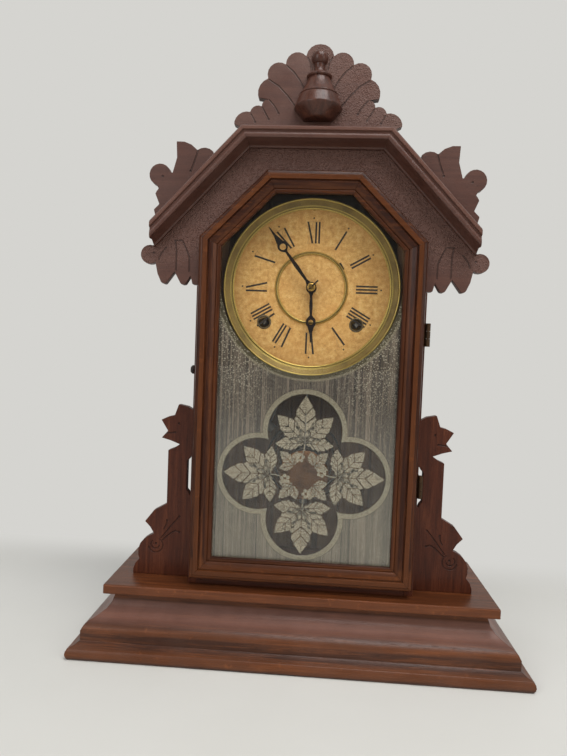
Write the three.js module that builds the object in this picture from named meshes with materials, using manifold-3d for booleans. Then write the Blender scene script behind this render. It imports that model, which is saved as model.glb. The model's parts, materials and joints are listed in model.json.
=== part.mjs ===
// A walnut shelf clock with an ogee base, an octagon-topped glazed door, a scroll-cut head
// and an eight-day spring-driven movement that strikes on a wire gong.
// Millimetres. +X is the viewer's right, +Y runs into the clock, +Z is up.
// The origin is on the shelf, under the middle of the base.

import * as THREE from 'three';
import { mergeVertices } from 'three/addons/utils/BufferGeometryUtils.js';
import Module from 'manifold-3d';

const wasm = await Module();
wasm.setup();

// ---------------------------------------------------------------- driving dimensions

// base
const BASE_HALF_WIDTH = 205.4;
const BASE_FRONT = -68.2;
const BASE_BACK = 70;
const LIP_HEIGHT = 10;
const LIP_BULGE = 0.36;
const OGEE_TOP = 54.4;
const MOULDING_DEPTH = 44;
const BOARD_HALF_WIDTH = 180;
const BOARD_FRONT = -51;
const BOARD_BACK = 68;
const BOARD_THICKNESS = 9;
const EDGE_EASING = 1;

// case
const CASE_HALF_WIDTH = 105;
const CASE_WALL = 8;
const CASE_FRONT = -34;
const CASE_DEPTH = 94;
const CASE_HEIGHT = 387.6;
const BACKBOARD_THICKNESS = 6;
const CASE_TOP_THICKNESS = 8;
const BATTEN_WIDTH = 17;
const BATTEN_DEPTH = 10.2;

// scroll-cut head
const HEAD_THICKNESS = 8;
const HEAD_OVER_CASE = 30;
const HEAD_DEPTH = 139;
const HEAD_TOP_HALF_WIDTH = 66;
const HEAD_SLOPE = 1.067;
const HEAD_OVERHANG = 40.5;
const OPENING_UNDER_TOP = 41;
const OPENING_SHOULDER_DROP = 56;
const BRACKET_FRONT = -19.6;
const BRACKET_THICKNESS = 8;
const FINIAL_SEGMENTS = 18;

// door
const DOOR_MARGIN = 2.8;
const DOOR_FOOT_GAP = 8.2;
const DOOR_UNDER_CASE_TOP = 5.2;
const DOOR_SHOULDER_DROP = 60.4;
const DOOR_CANT = 59.5;
const DOOR_BACK = -35;
const STILE_WIDTH = 20.2;
const STILE_THICKNESS = 11;
const REBATE_LINE = 15.2;
const REBATE_DEPTH = 4;
const GLASS_THICKNESS = 2;

// hinges and latch
const HINGE_OUT = 1.6;
const HINGE_Y = -36.6;
const KNUCKLE_RADIUS = 2.2;
const HINGE_PIN_RADIUS = 1;
const HINGE_LENGTH = 20.8;
const HINGES_UNDER_SHOULDER = [81.4, 219.4];
const LEAF_THICKNESS = 0.4;
const LATCH_Y = -22;
const LATCH_UNDER_SHOULDER = 121.4;
const LATCH_SHAFT_RADIUS = 2;
const CLAW_INNER_RADIUS = 10.4;
const CLAW_OUTER_RADIUS = 12.2;
const CLAW_THICKNESS = 2;
const CLAW_INSET = 15.5;
const STAPLE_HALF_WIDTH = 3.7;
const STAPLE_WIRE = 1.6;
const STAPLE_REACH = 5;

// dial and hands
const DIAL_UNDER_CASE_TOP = 105.5;
const DIAL_FACE = -10;
const PAN_THICKNESS = 0.8;
const BEZEL_RADIUS = 84;
const BEZEL_INNER_RADIUS = 73.8;
const BEZEL_HEIGHT = 6;
const CENTRE_RING_RADIUS = 35;
const CENTRE_RING_INNER_RADIUS = 31.5;
const KEY_HOLE_RADIUS = 5.5;
const KEY_HOLE_X = 44;
const KEY_HOLE_DROP = 33.5;
const HAND_THICKNESS = 0.8;
const MINUTE_HAND_Y = -19.2;
const HOUR_HAND_Y = -15.2;
const MINUTE_HAND_TURN = -37.4;
const HOUR_HAND_TURN = 178.5;

// movement frame
const FRONT_PLATE_Y = 6;
const BACK_PLATE_Y = 36;
const PLATE_THICKNESS = 1.5;
const PLATE_HALF_WIDTH = 54;
const PLATE_TOP = 56;
const PLATE_BOTTOM = -63;
const PILLAR_RADIUS = 3;
const TOP_PILLAR = [48, 50];
const BOTTOM_PILLAR = [20, -58];
const PIVOT_RADIUS = 0.8;
const PIVOT_HOLE_RADIUS = 1.3;

// wheels: tooth counts and modules
const GREAT_TEETH = 48;
const GREAT_MODULE = 1.1;
const SECOND_PINS = 8;
const SECOND_TEETH = 40;
const SECOND_MODULE = 1;
const CENTRE_PINION_TEETH = 20;
const CENTRE_TEETH = 72;
const CENTRE_MODULE = 0.7;
const THIRD_PINS = 6;
const THIRD_TEETH = 63;
const THIRD_MODULE = 0.6;
const ESCAPE_PINS = 6;
const ESCAPE_TEETH = 36;
const ESCAPE_RADIUS = 13.5;
const ESCAPE_DROP = 37.6;
const CANNON_TEETH = 10;
const MINUTE_WHEEL_TEETH = 30;
const MINUTE_PINION_TEETH = 8;
const HOUR_TEETH = 32;
const MOTION_MODULE = 0.72;
const MOTION_DIRECTION = 60;
const STRIKE_SECOND_TEETH = 42;
const STRIKE_SECOND_MODULE = 0.8;
const FLY_PINS = 6;
const FLY_DIRECTION = 80;
const WHEEL_THICKNESS = 1.2;

// pendulum
const SWING_DROP = 20;
const ROD_Y = -4.4;
const ROD_RADIUS = 0.8;
const PENDULUM_LENGTH = 160.5;
const BOB_RADIUS = 24;
const BOB_THICKNESS = 12;
const CRUTCH_FOOT = -62;

// gong and hammer
const GONG_OVER_FLOOR = 100.6;
const GONG_Y = 45;
const GONG_TURNS = 5;
const GONG_INNER_RADIUS = 9;
const GONG_OUTER_RADIUS = 44;
const GONG_WIRE_RADIUS = 1.1;
const GONG_BASE_RADIUS = 14;
const HAMMER_PIVOT = [-10, -52];
const HAMMER_STRIKE_ANGLE = 140;
const HAMMER_HEAD_RADIUS = 4.5;
const HAMMER_HEAD_LENGTH = 12;
const HAMMER_GAP = 1;

// mainsprings
const SPRING_TURNS = 6;
const SPRING_FRONT = 12;
const SPRING_WIDTH = 16;
const SPRING_THICKNESS = 0.8;
const SPRING_INNER_RADIUS = 3.8;
const SPRING_OUTER_RADIUS = 26;
const WINDING_ARBOR_RADIUS = 2.4;

// fits
const CLEARANCE = 0.3;
const ARC_STEP = Math.PI / 9;

// worked out from the above
const BOARD_TOP = OGEE_TOP + BOARD_THICKNESS;
const CASE_BACK = CASE_FRONT + CASE_DEPTH;
const CASE_INNER = CASE_HALF_WIDTH - CASE_WALL;
const CASE_TOP = BOARD_TOP + CASE_HEIGHT;
const FLOOR_TOP = BOARD_TOP + CASE_WALL;
const PAN_BACK = DIAL_FACE + PAN_THICKNESS;
const PLATE_INNER = FRONT_PLATE_Y + PLATE_THICKNESS;
const HEAD_TOP = CASE_TOP + HEAD_OVER_CASE;
const HEAD_FOOT = HEAD_TOP - HEAD_DEPTH;
const HEAD_MOULDING_END = CASE_HALF_WIDTH + HEAD_OVERHANG;
const OPENING_TOP = HEAD_TOP - OPENING_UNDER_TOP;
const OPENING_SHOULDER = OPENING_TOP - OPENING_SHOULDER_DROP;
const OPENING_TOP_HALF_WIDTH = CASE_INNER - OPENING_SHOULDER_DROP;
const DOOR_HALF_WIDTH = CASE_HALF_WIDTH - DOOR_MARGIN;
const DOOR_BOTTOM = BOARD_TOP + DOOR_FOOT_GAP;
const DOOR_TOP = CASE_TOP - DOOR_UNDER_CASE_TOP;
const DOOR_SHOULDER = DOOR_TOP - DOOR_SHOULDER_DROP;
const DOOR_TOP_HALF_WIDTH = DOOR_HALF_WIDTH - DOOR_CANT;
const HINGE_X = CASE_HALF_WIDTH + HINGE_OUT;
const HINGE_CENTRES = HINGES_UNDER_SHOULDER.map((drop) => DOOR_SHOULDER - drop);
const LATCH_Z = DOOR_SHOULDER - LATCH_UNDER_SHOULDER;
const DIAL_Z = CASE_TOP - DIAL_UNDER_CASE_TOP;
const BOB_Z = DIAL_Z - SWING_DROP - PENDULUM_LENGTH;
const GONG_Z = FLOOR_TOP + GONG_OVER_FLOOR;
const WINDING = [KEY_HOLE_X, -KEY_HOLE_DROP];

// ---------------------------------------------------------------- finishes

const finish = (color, roughness, metalness = 0, extra = {}) =>
  new THREE.MeshStandardMaterial({ color, roughness, metalness, ...extra });
const walnut = finish(0x54291a, 0.55);
const walnutLight = finish(0x6d3a20, 0.5);
const pine = finish(0x9a7448, 0.8);
const brass = finish(0xb08d3e, 0.35, 0.9);
const dialPaper = finish(0xc9a468, 0.8);
const bluedSteel = finish(0x1d1a1c, 0.4, 0.7);
const steel = finish(0x77746e, 0.4, 0.9);
const castIron = finish(0x2a2725, 0.75, 0.3);
const glass = finish(0xb8c4bc, 0.05, 0, { transparent: true, opacity: 0.35 });

// ---------------------------------------------------------------- geometry helpers

const clock = new THREE.Group();

/** Merges shared corners and drops the triangles that have collapsed. */
function welded(geometry) {
  const bare = geometry.clone();
  bare.deleteAttribute('normal');
  bare.deleteAttribute('uv');
  const merged = mergeVertices(bare, 1e-4);
  const index = Array.from(merged.index.array);
  const kept = [];
  for (let i = 0; i < index.length; i += 3) {
    const [a, b, c] = index.slice(i, i + 3);
    if (a !== b && b !== c && c !== a) kept.push(a, b, c);
  }
  merged.setIndex(kept);
  return merged;
}

/** Six times the signed volume of a closed mesh. */
function signedVolume(geometry) {
  const p = geometry.attributes.position;
  const [a, b, c] = [new THREE.Vector3(), new THREE.Vector3(), new THREE.Vector3()];
  const index = geometry.index.array;
  let sum = 0;
  for (let i = 0; i < index.length; i += 3) {
    a.fromBufferAttribute(p, index[i]);
    b.fromBufferAttribute(p, index[i + 1]);
    c.fromBufferAttribute(p, index[i + 2]);
    sum += a.dot(b.cross(c));
  }
  return sum;
}

/** A welded closed mesh with its faces pointing out. */
function closed(geometry) {
  const mesh = welded(geometry);
  if (signedVolume(mesh) < 0) {
    const flipped = Array.from(mesh.index.array);
    for (let i = 0; i < flipped.length; i += 3) {
      [flipped[i], flipped[i + 1]] = [flipped[i + 1], flipped[i]];
    }
    mesh.setIndex(flipped);
  }
  return mesh;
}

/** Turns a closed geometry into a solid that can be joined and cut. */
function solid(geometry) {
  const mesh = closed(geometry);
  return new wasm.Manifold(new wasm.Mesh({
    numProp: 3,
    vertProperties: new Float32Array(mesh.attributes.position.array),
    triVerts: new Uint32Array(mesh.index.array),
  }));
}

/** Joins geometries into one solid. */
const joined = (...geometries) => geometries.map(solid).reduce((all, next) => all.add(next));

/** The geometry of a solid that was joined or cut. */
function geometryOf(body) {
  const mesh = body.getMesh();
  const geometry = new THREE.BufferGeometry();
  const position = new Float32Array(mesh.numVert * 3);
  for (let i = 0; i < mesh.numVert; i += 1) {
    for (let k = 0; k < 3; k += 1) position[3 * i + k] = mesh.vertProperties[mesh.numProp * i + k];
  }
  geometry.setAttribute('position', new THREE.BufferAttribute(position, 3));
  geometry.setIndex(Array.from(mesh.triVerts));
  return geometry;
}

/** Adds one named piece to the clock. */
function piece(name, shape, material) {
  const indexed = shape instanceof wasm.Manifold ? geometryOf(shape) : closed(shape);
  const geometry = indexed.toNonIndexed();
  geometry.computeVertexNormals();
  const mesh = new THREE.Mesh(geometry, material);
  mesh.name = name;
  clock.add(mesh);
  return mesh;
}

/** Points along the arc from a to b; bulge is the tangent of a quarter of its angle. */
function arcPoints(a, b, bulge) {
  if (!bulge) return [];
  const angle = 4 * Math.atan(bulge);
  const chord = b.clone().sub(a);
  const left = new THREE.Vector2(-chord.y, chord.x);
  const centre = a.clone().add(b).multiplyScalar(0.5).addScaledVector(left, 0.5 / Math.tan(angle / 2));
  const steps = Math.max(2, Math.round(Math.abs(angle) / ARC_STEP));
  const points = [];
  for (let i = 1; i < steps; i += 1) {
    points.push(a.clone().rotateAround(centre, (angle * i) / steps));
  }
  return points;
}

/** A closed outline from [x, y, bulge] corners; the bulge shapes the edge that leaves a corner. */
function outline(corners) {
  return corners.flatMap(([x, y, bulge], i) => {
    const [nextX, nextY] = corners[(i + 1) % corners.length];
    const start = new THREE.Vector2(x, y);
    return [start, ...arcPoints(start, new THREE.Vector2(nextX, nextY), bulge)];
  });
}

/** Completes an outline whose right half runs from the lower middle round to the top middle. */
function mirroredOutline(rightHalf) {
  const last = rightHalf.length - 1;
  const left = rightHalf.map(([x, y], i) => [-x, y, i ? rightHalf[i - 1][2] : 0]).reverse();
  const right = rightHalf[last][0] === 0 ? rightHalf.slice(0, last) : rightHalf;
  return [...right, ...(rightHalf[0][0] === 0 ? left.slice(0, -1) : left)];
}

const flipX = (corners) => corners.map(([x, y], i) => {
  const before = corners[(i + corners.length - 1) % corners.length];
  return [-x, y, before[2]];
}).reverse();

const circle = (radius, sides, x = 0, y = 0, turn = 0) =>
  Array.from({ length: sides }, (_, i) => {
    const angle = turn + (2 * Math.PI * i) / sides;
    return new THREE.Vector2(x + radius * Math.cos(angle), y + radius * Math.sin(angle));
  });

function extruded(points, depth, holes = []) {
  const shape = new THREE.Shape(points);
  shape.holes = holes.map((hole) => new THREE.Path(hole));
  return new THREE.ExtrudeGeometry(shape, { depth, bevelEnabled: false, steps: 1 });
}

/** A board cut to an x-z outline, lying between two depths. */
const alongY = (points, front, back, holes) =>
  extruded(points, back - front, holes).rotateX(Math.PI / 2).translate(0, back, 0);

/** A board cut to a y-z outline, lying between two widths. */
function alongX(points, left, right, holes) {
  const turn = new THREE.Matrix4().makeBasis(
    new THREE.Vector3(0, 1, 0), new THREE.Vector3(0, 0, 1), new THREE.Vector3(1, 0, 0));
  return extruded(points, right - left, holes).applyMatrix4(turn).translate(left, 0, 0);
}

/** A board cut to an x-y outline, lying between two heights. */
const alongZ = (points, bottom, top, holes) =>
  extruded(points, top - bottom, holes).translate(0, 0, bottom);

/** A box between two corners. */
function block([x0, y0, z0], [x1, y1, z1]) {
  return new THREE.BoxGeometry(x1 - x0, y1 - y0, z1 - z0)
    .translate((x0 + x1) / 2, (y0 + y1) / 2, (z0 + z1) / 2);
}

/** A rod along Y. */
const rodY = (radius, sides, front, back, x = 0, z = 0) => alongY(circle(radius, sides, x, z), front, back);

/** A turned ring or knob about a line along Y, from [radius, y] points. */
const turnedY = (profile, segments, x = 0, z = 0) =>
  new THREE.LatheGeometry(profile.map(([r, y]) => new THREE.Vector2(r, y)), segments).translate(x, 0, z);

/** A turning about a line along Z, from [radius, z] points. */
const turnedZ = (profile, segments, x = 0, y = 0) =>
  new THREE.LatheGeometry(profile.map(([r, z]) => new THREE.Vector2(r, z)), segments)
    .rotateX(Math.PI / 2).translate(x, y, 0);

// ---------------------------------------------------------------- mitred mouldings

/** The corner's mitre: moves with the distance from the outer edge. */
function mitreAt(corner, mitre, normal) {
  const reach = mitre.clone().divideScalar(mitre.dot(normal));
  return (inset) => corner.clone().addScaledVector(reach, inset);
}

const inward = (a, b) => new THREE.Vector2(a.y - b.y, b.x - a.x).normalize();

/**
 * One straight length of moulding from corner a to corner b, cut along a mitre at each end.
 * The profile is [inset, height] and place puts an in-plane point and a height into space.
 */
function mouldingLength(a, b, mitreA, mitreB, profile, place) {
  const normal = inward(a, b);
  const [startAt, endAt] = [mitreAt(a, mitreA, normal), mitreAt(b, mitreB, normal)];
  const section = THREE.ShapeUtils.isClockWise(profile) ? [...profile].reverse() : profile;
  const count = section.length;
  const position = [startAt, endAt].flatMap((end) => section.flatMap((p) => place(end(p.x), p.y)));
  const index = THREE.ShapeUtils.triangulateShape(section, [])
    .flatMap(([i, j, k]) => [i, j, k, k + count, j + count, i + count]);
  for (let i = 0; i < count; i += 1) {
    const next = (i + 1) % count;
    index.push(next, i, i + count, next, i + count, next + count);
  }
  const geometry = new THREE.BufferGeometry();
  geometry.setAttribute('position', new THREE.BufferAttribute(new Float32Array(position), 3));
  geometry.setIndex(index);
  return geometry;
}

/** The mitre direction at corner b of the run a, b, c. */
const mitreBetween = (a, b, c) => inward(a, b).add(inward(b, c)).normalize();

/** Moulding lengths along an open run of corners, with the ends cut along endMitre. */
function mouldingRun(corners, endMitres, profile, place) {
  const mitres = corners.map((corner, i) => {
    if (i === 0) return endMitres[0];
    if (i === corners.length - 1) return endMitres[1];
    return mitreBetween(corners[i - 1], corner, corners[i + 1]);
  });
  return corners.slice(1).map((corner, i) =>
    mouldingLength(corners[i], corner, mitres[i], mitres[i + 1], profile, place));
}

// ---------------------------------------------------------------- base

function base() {
  const back = BASE_BACK;
  const corners = [
    new THREE.Vector2(-BASE_HALF_WIDTH, back),
    new THREE.Vector2(-BASE_HALF_WIDTH, BASE_FRONT),
    new THREE.Vector2(BASE_HALF_WIDTH, BASE_FRONT),
    new THREE.Vector2(BASE_HALF_WIDTH, back),
  ];
  const profile = outline([
    [0, 0, -LIP_BULGE],
    [0, LIP_HEIGHT, 0.17],
    [8.3, LIP_HEIGHT + 4.2],
    [8.3, 23, -0.268],
    [18, 32, 0],
    [21, 33.7, 0.26],
    [31.7, 48],
    [31.7, OGEE_TOP],
    [MOULDING_DEPTH, OGEE_TOP],
    [MOULDING_DEPTH, 0],
  ]);
  const square = [new THREE.Vector2(1, 0), new THREE.Vector2(-1, 0)];
  const lengths = mouldingRun(corners, square, profile, (p, height) => [p.x, p.y, height]);
  ['left', 'front', 'right'].forEach((side, i) => piece(`base_moulding_${side}`, lengths[i], walnutLight));

  const eased = BOARD_FRONT + EDGE_EASING;
  const section = [
    [eased, OGEE_TOP], [BOARD_BACK, OGEE_TOP], [BOARD_BACK, BOARD_TOP],
    [eased, BOARD_TOP], [BOARD_FRONT, BOARD_TOP - EDGE_EASING], [BOARD_FRONT, OGEE_TOP + EDGE_EASING],
  ].map(([y, z]) => new THREE.Vector2(y, z));
  piece('base_board', alongX(section, -BOARD_HALF_WIDTH, BOARD_HALF_WIDTH), walnutLight);
}

// ---------------------------------------------------------------- case

function caseBox() {
  const notch = CASE_FRONT + HEAD_THICKNESS;
  const lidUnder = CASE_TOP - CASE_TOP_THICKNESS;
  const side = [
    [CASE_FRONT, BOARD_TOP], [CASE_BACK, BOARD_TOP], [CASE_BACK, lidUnder],
    [notch, lidUnder], [notch, HEAD_FOOT], [CASE_FRONT, HEAD_FOOT],
  ].map(([y, z]) => new THREE.Vector2(y, z));
  const latchHole = circle(LATCH_SHAFT_RADIUS + CLEARANCE + 0.1, 12, LATCH_Y, LATCH_Z);
  piece('case_side_left', alongX(side, -CASE_HALF_WIDTH, -CASE_INNER, [latchHole]), walnut);
  piece('case_side_right', alongX(side, CASE_INNER, CASE_HALF_WIDTH), walnut);
  const floorBoard = block([-CASE_INNER, CASE_FRONT, BOARD_TOP], [CASE_INNER, CASE_BACK, FLOOR_TOP]);
  piece('case_floor', floorBoard, walnut);
  const topBoard = block([-CASE_HALF_WIDTH, notch, lidUnder], [CASE_HALF_WIDTH, CASE_BACK, CASE_TOP]);
  piece('case_top', topBoard, walnut);
  piece('backboard', block(
    [-CASE_HALF_WIDTH, CASE_BACK, BOARD_TOP],
    [CASE_HALF_WIDTH, CASE_BACK + BACKBOARD_THICKNESS, CASE_TOP]), pine);
  [-1, 1].forEach((side) => {
    const [a, b] = [side * (CASE_INNER - BATTEN_WIDTH), side * CASE_INNER].sort((p, q) => p - q);
    piece(`dial_batten_${side < 0 ? 'left' : 'right'}`,
      block([a, PAN_BACK, FLOOR_TOP], [b, PAN_BACK + BATTEN_DEPTH, lidUnder]), pine);
  });
}

// ---------------------------------------------------------------- head

/** A corner placed from the case's outer side, and one placed from the end of the head's flat top. */
const beside = (out, z, bulge) => [CASE_HALF_WIDTH + out, z, bulge];
const overTop = (out, up, bulge) => [HEAD_TOP_HALF_WIDTH + out, HEAD_TOP + up, bulge];

/** Half of the head board's outline: door opening, lower drops, end ball, ear and top edge. */
const headBoardHalf = [
  [0, OPENING_TOP],
  [OPENING_TOP_HALF_WIDTH, OPENING_TOP],
  [CASE_INNER, OPENING_SHOULDER],
  [CASE_INNER, HEAD_FOOT],
  beside(4.3, HEAD_FOOT + 1),
  beside(6.3, HEAD_FOOT + 8.5),
  beside(10.5, HEAD_FOOT + 1.5, 0.5),
  beside(15.8, HEAD_FOOT + 2),
  beside(21.3, HEAD_FOOT + 12),
  beside(29.5, HEAD_FOOT + 0.8, 0.3),
  beside(34, HEAD_FOOT + 2.5),
  beside(37.4, HEAD_FOOT + 10),
  beside(39.6, HEAD_FOOT + 20.4, 1.677),
  beside(41.8, HEAD_FOOT + 35.6),
  beside(41, HEAD_FOOT + 37),
  beside(41, HEAD_TOP - 76),
  beside(42.5, HEAD_TOP - 70.5),
  beside(37.5, HEAD_TOP - 65.5),
  beside(41.5, HEAD_TOP - 56, 0.1),
  beside(38.5, HEAD_TOP - 51.5),
  beside(40.3, HEAD_TOP - 48.3, 1.698),
  beside(27.9, HEAD_TOP - 36),
  beside(26, HEAD_TOP - 37, -0.16),
  beside(23, HEAD_TOP - 8.5, 0.27),
  beside(3.5, HEAD_TOP - 16, 0.386),
  beside(-11, HEAD_TOP - 17),
  beside(-12.5, HEAD_TOP - (CASE_HALF_WIDTH - 12.5 - HEAD_TOP_HALF_WIDTH) * HEAD_SLOPE),
  [HEAD_TOP_HALF_WIDTH, HEAD_TOP],
  [0, HEAD_TOP],
];

/** Half of the crest's outline, a fan of lobes with a stepped scroll at its foot. */
const crestHalf = [
  [0, HEAD_TOP],
  overTop(3, 0),
  overTop(5, 5.5),
  overTop(9.5, 7.5),
  overTop(9.5, 10, 0.42),
  overTop(-4.7, 18.8, 0.5),
  overTop(-15, 23.8, 0.4),
  overTop(-20.3, 30),
  overTop(-12, 31.3),
  overTop(-11.3, 33.5, 0.37),
  overTop(-20, 48.5, 0.74),
  overTop(-35.5, 61, 0.7),
  overTop(-53.5, 68.5, 0.39),
  [0, HEAD_TOP + 79],
];

/** Half-turned finial on the crest: [radius, height over the head moulding]. */
const finialProfile = [
  [0, 8.2],
  [11, 8.2],
  [13, 11.4],
  [17, 15],
  [21, 19.6],
  [21.6, 21.4],
  [20.6, 25],
  [17.6, 32.6],
  [16.2, 33.6],
  [14, 34],
  [13.4, 36.6],
  [11.6, 43],
  [9, 47],
  [9.2, 48],
  [10.4, 48.8],
  [10.4, 50.2],
  [8.4, 51.6],
  [4.9, 53.6],
  [4.2, 56.6],
  [5.2, 59.6],
  [7.6, 63.6],
  [8, 67.4],
  [6.6, 71],
  [3.6, 73.6],
  [0, 74.2],
];

const bracketOutline = [
  beside(0, BOARD_TOP + 0),
  beside(57.3, BOARD_TOP + 0),
  beside(57.2, BOARD_TOP + 4.6, 0.18),
  beside(51.5, BOARD_TOP + 14.6),
  beside(52.7, BOARD_TOP + 18.6, 0.16),
  beside(51, BOARD_TOP + 29.6),
  beside(47, BOARD_TOP + 34.6, 0.1),
  beside(37.7, BOARD_TOP + 39.9, -0.12),
  beside(46.8, BOARD_TOP + 51.6, 0.2),
  beside(26, BOARD_TOP + 69.9),
  beside(26, BOARD_TOP + 122.1, -0.1),
  beside(15, BOARD_TOP + 128.1, -0.05),
  beside(32.8, BOARD_TOP + 133.8),
  beside(26.8, BOARD_TOP + 140.6),
  beside(33.5, BOARD_TOP + 151.1, 0.1),
  beside(20.7, BOARD_TOP + 155.9),
  beside(17, BOARD_TOP + 166.6, 0.17),
  beside(0, BOARD_TOP + 160.1),
  beside(0, BOARD_TOP + 118.6),
  beside(4, BOARD_TOP + 117.1, 0.2),
  beside(7, BOARD_TOP + 112.6),
  beside(7, BOARD_TOP + 84.6, 0.2),
  beside(4, BOARD_TOP + 79.6),
  beside(0, BOARD_TOP + 78.1),
];

function head() {
  const front = CASE_FRONT;
  const back = CASE_FRONT + HEAD_THICKNESS;
  piece('head_board', alongY(outline(mirroredOutline(headBoardHalf)), front, back), walnut);
  piece('crest', alongY(outline(mirroredOutline(crestHalf)), front, back), walnut);

  const turning = solid(turnedZ(finialProfile, FINIAL_SEGMENTS, 0, front).translate(0, 0, HEAD_TOP));
  const behind = solid(block([-40, front, HEAD_TOP - 10], [40, front + 40, HEAD_TOP + 100]));
  piece('finial', turning.subtract(behind), walnut);

  const bracketBack = BRACKET_FRONT + BRACKET_THICKNESS;
  piece('side_bracket_right', alongY(outline(bracketOutline), BRACKET_FRONT, bracketBack), walnut);
  piece('side_bracket_left', alongY(outline(flipX(bracketOutline)), BRACKET_FRONT, bracketBack), walnut);
}

function headMoulding() {
  const endZ = HEAD_TOP - (HEAD_MOULDING_END - HEAD_TOP_HALF_WIDTH) * HEAD_SLOPE;
  const corners = [
    new THREE.Vector2(HEAD_MOULDING_END, endZ),
    new THREE.Vector2(HEAD_TOP_HALF_WIDTH, HEAD_TOP),
    new THREE.Vector2(-HEAD_TOP_HALF_WIDTH, HEAD_TOP),
    new THREE.Vector2(-HEAD_MOULDING_END, endZ),
  ];
  const profile = outline([
    [0, 0],
    [0, 18.6],
    [1.2, 20],
    [3.6, 20],
    [4.4, 18],
    [5.4, 18, -0.4],
    [10, 18.4],
    [10.6, 16.5, 0.2],
    [12.6, 4],
    [14, 3],
    [14, 0],
  ]);
  const plumb = new THREE.Vector2(0, -1);
  const place = (p, height) => [p.x, CASE_FRONT - height, p.y];
  const lengths = mouldingRun(corners, [plumb, plumb], profile, place);
  ['right', 'top', 'left'].forEach((side, i) => piece(`head_moulding_${side}`, lengths[i], walnut));
}

// ---------------------------------------------------------------- door

const doorCorners = [
  [-DOOR_HALF_WIDTH, DOOR_BOTTOM], [DOOR_HALF_WIDTH, DOOR_BOTTOM],
  [DOOR_HALF_WIDTH, DOOR_SHOULDER], [DOOR_TOP_HALF_WIDTH, DOOR_TOP],
  [-DOOR_TOP_HALF_WIDTH, DOOR_TOP], [-DOOR_HALF_WIDTH, DOOR_SHOULDER],
].map(([x, z]) => new THREE.Vector2(x, z));

const around = (list, i) => list[(i + list.length) % list.length];

/** The door's outline moved in by an inset. */
function doorOutline(inset) {
  return doorCorners.map((corner, i) => {
    const before = around(doorCorners, i - 1);
    const after = around(doorCorners, i + 1);
    return mitreAt(corner, mitreBetween(before, corner, after), inward(corner, after))(inset);
  });
}

function door() {
  const profile = outline([
    [0, 0],
    [0, STILE_THICKNESS - 3.6],
    [1, STILE_THICKNESS - 1.6, -0.1],
    [3.6, STILE_THICKNESS - 0.8],
    [4, STILE_THICKNESS],
    [8.2, STILE_THICKNESS],
    [8.6, STILE_THICKNESS - 1.8],
    [9.4, STILE_THICKNESS - 1.8],
    [9.8, STILE_THICKNESS - 0.8, -0.12],
    [STILE_WIDTH - 4.2, STILE_THICKNESS - 3.8],
    [STILE_WIDTH - 4, STILE_THICKNESS - 4.6],
    [STILE_WIDTH - 3, STILE_THICKNESS - 4],
    [STILE_WIDTH - 0.6, STILE_THICKNESS - 4.4],
    [STILE_WIDTH, STILE_THICKNESS - 5.4],
    [STILE_WIDTH, REBATE_DEPTH],
    [REBATE_LINE, REBATE_DEPTH],
    [REBATE_LINE, 0],
  ]);
  const names = ['door_rail_bottom', 'door_stile_right', 'door_slope_right',
    'door_rail_top', 'door_slope_left', 'door_stile_left'];
  const place = (p, height) => [p.x, DOOR_BACK - height, p.y];
  names.forEach((name, i) => {
    const [a, b] = [doorCorners[i], around(doorCorners, i + 1)];
    const mitreA = mitreBetween(around(doorCorners, i - 1), a, b);
    const mitreB = mitreBetween(a, b, around(doorCorners, i + 2));
    piece(name, mouldingLength(a, b, mitreA, mitreB, profile, place), walnutLight);
  });
  const glassFront = DOOR_BACK - REBATE_DEPTH;
  const pane = doorOutline(REBATE_LINE + CLEARANCE);
  piece('door_glass', alongY(pane, glassFront, glassFront + GLASS_THICKNESS), glass);
}

// ---------------------------------------------------------------- hinges and latch

function hinge(name, centreZ) {
  const knuckle = HINGE_LENGTH / 3;
  const bottom = centreZ - HINGE_LENGTH / 2;
  const top = bottom + HINGE_LENGTH;
  const gap = CLEARANCE;
  const barrel = (z0, z1) => alongZ(circle(KNUCKLE_RADIUS, 12, HINGE_X, HINGE_Y), z0, z1);
  const middle = [bottom + knuckle + gap, bottom + 2 * knuckle - gap];
  const sideFace = CASE_HALF_WIDTH;
  const tab = (z0, z1) => block([sideFace, HINGE_Y, z0], [sideFace + 0.6, CASE_FRONT + 0.2, z1]);
  const caseLeaf = joined(
    block([sideFace, CASE_FRONT + 0.1, bottom], [sideFace + 0.6, CASE_FRONT + 12, top]),
    tab(bottom, bottom + knuckle),
    tab(bottom + 2 * knuckle, top),
    barrel(bottom, bottom + knuckle),
    barrel(bottom + 2 * knuckle, top),
    alongZ(circle(HINGE_PIN_RADIUS, 8, HINGE_X, HINGE_Y), bottom + 1, top - 1));
  piece(`${name}_case_leaf`, caseLeaf, brass);

  const leafBack = DOOR_BACK + LEAF_THICKNESS;
  const doorLeaf = joined(
    block([DOOR_HALF_WIDTH - 12, DOOR_BACK, bottom], [sideFace - 1, leafBack, top]),
    block([sideFace - 1.1, DOOR_BACK, middle[0]], [HINGE_X, leafBack, middle[1]]),
    barrel(...middle));
  const bore = solid(alongZ(circle(HINGE_PIN_RADIUS + CLEARANCE + 0.1, 8, HINGE_X, HINGE_Y), bottom, top));
  piece(`${name}_door_leaf`, doorLeaf.subtract(bore), brass);
}

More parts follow.
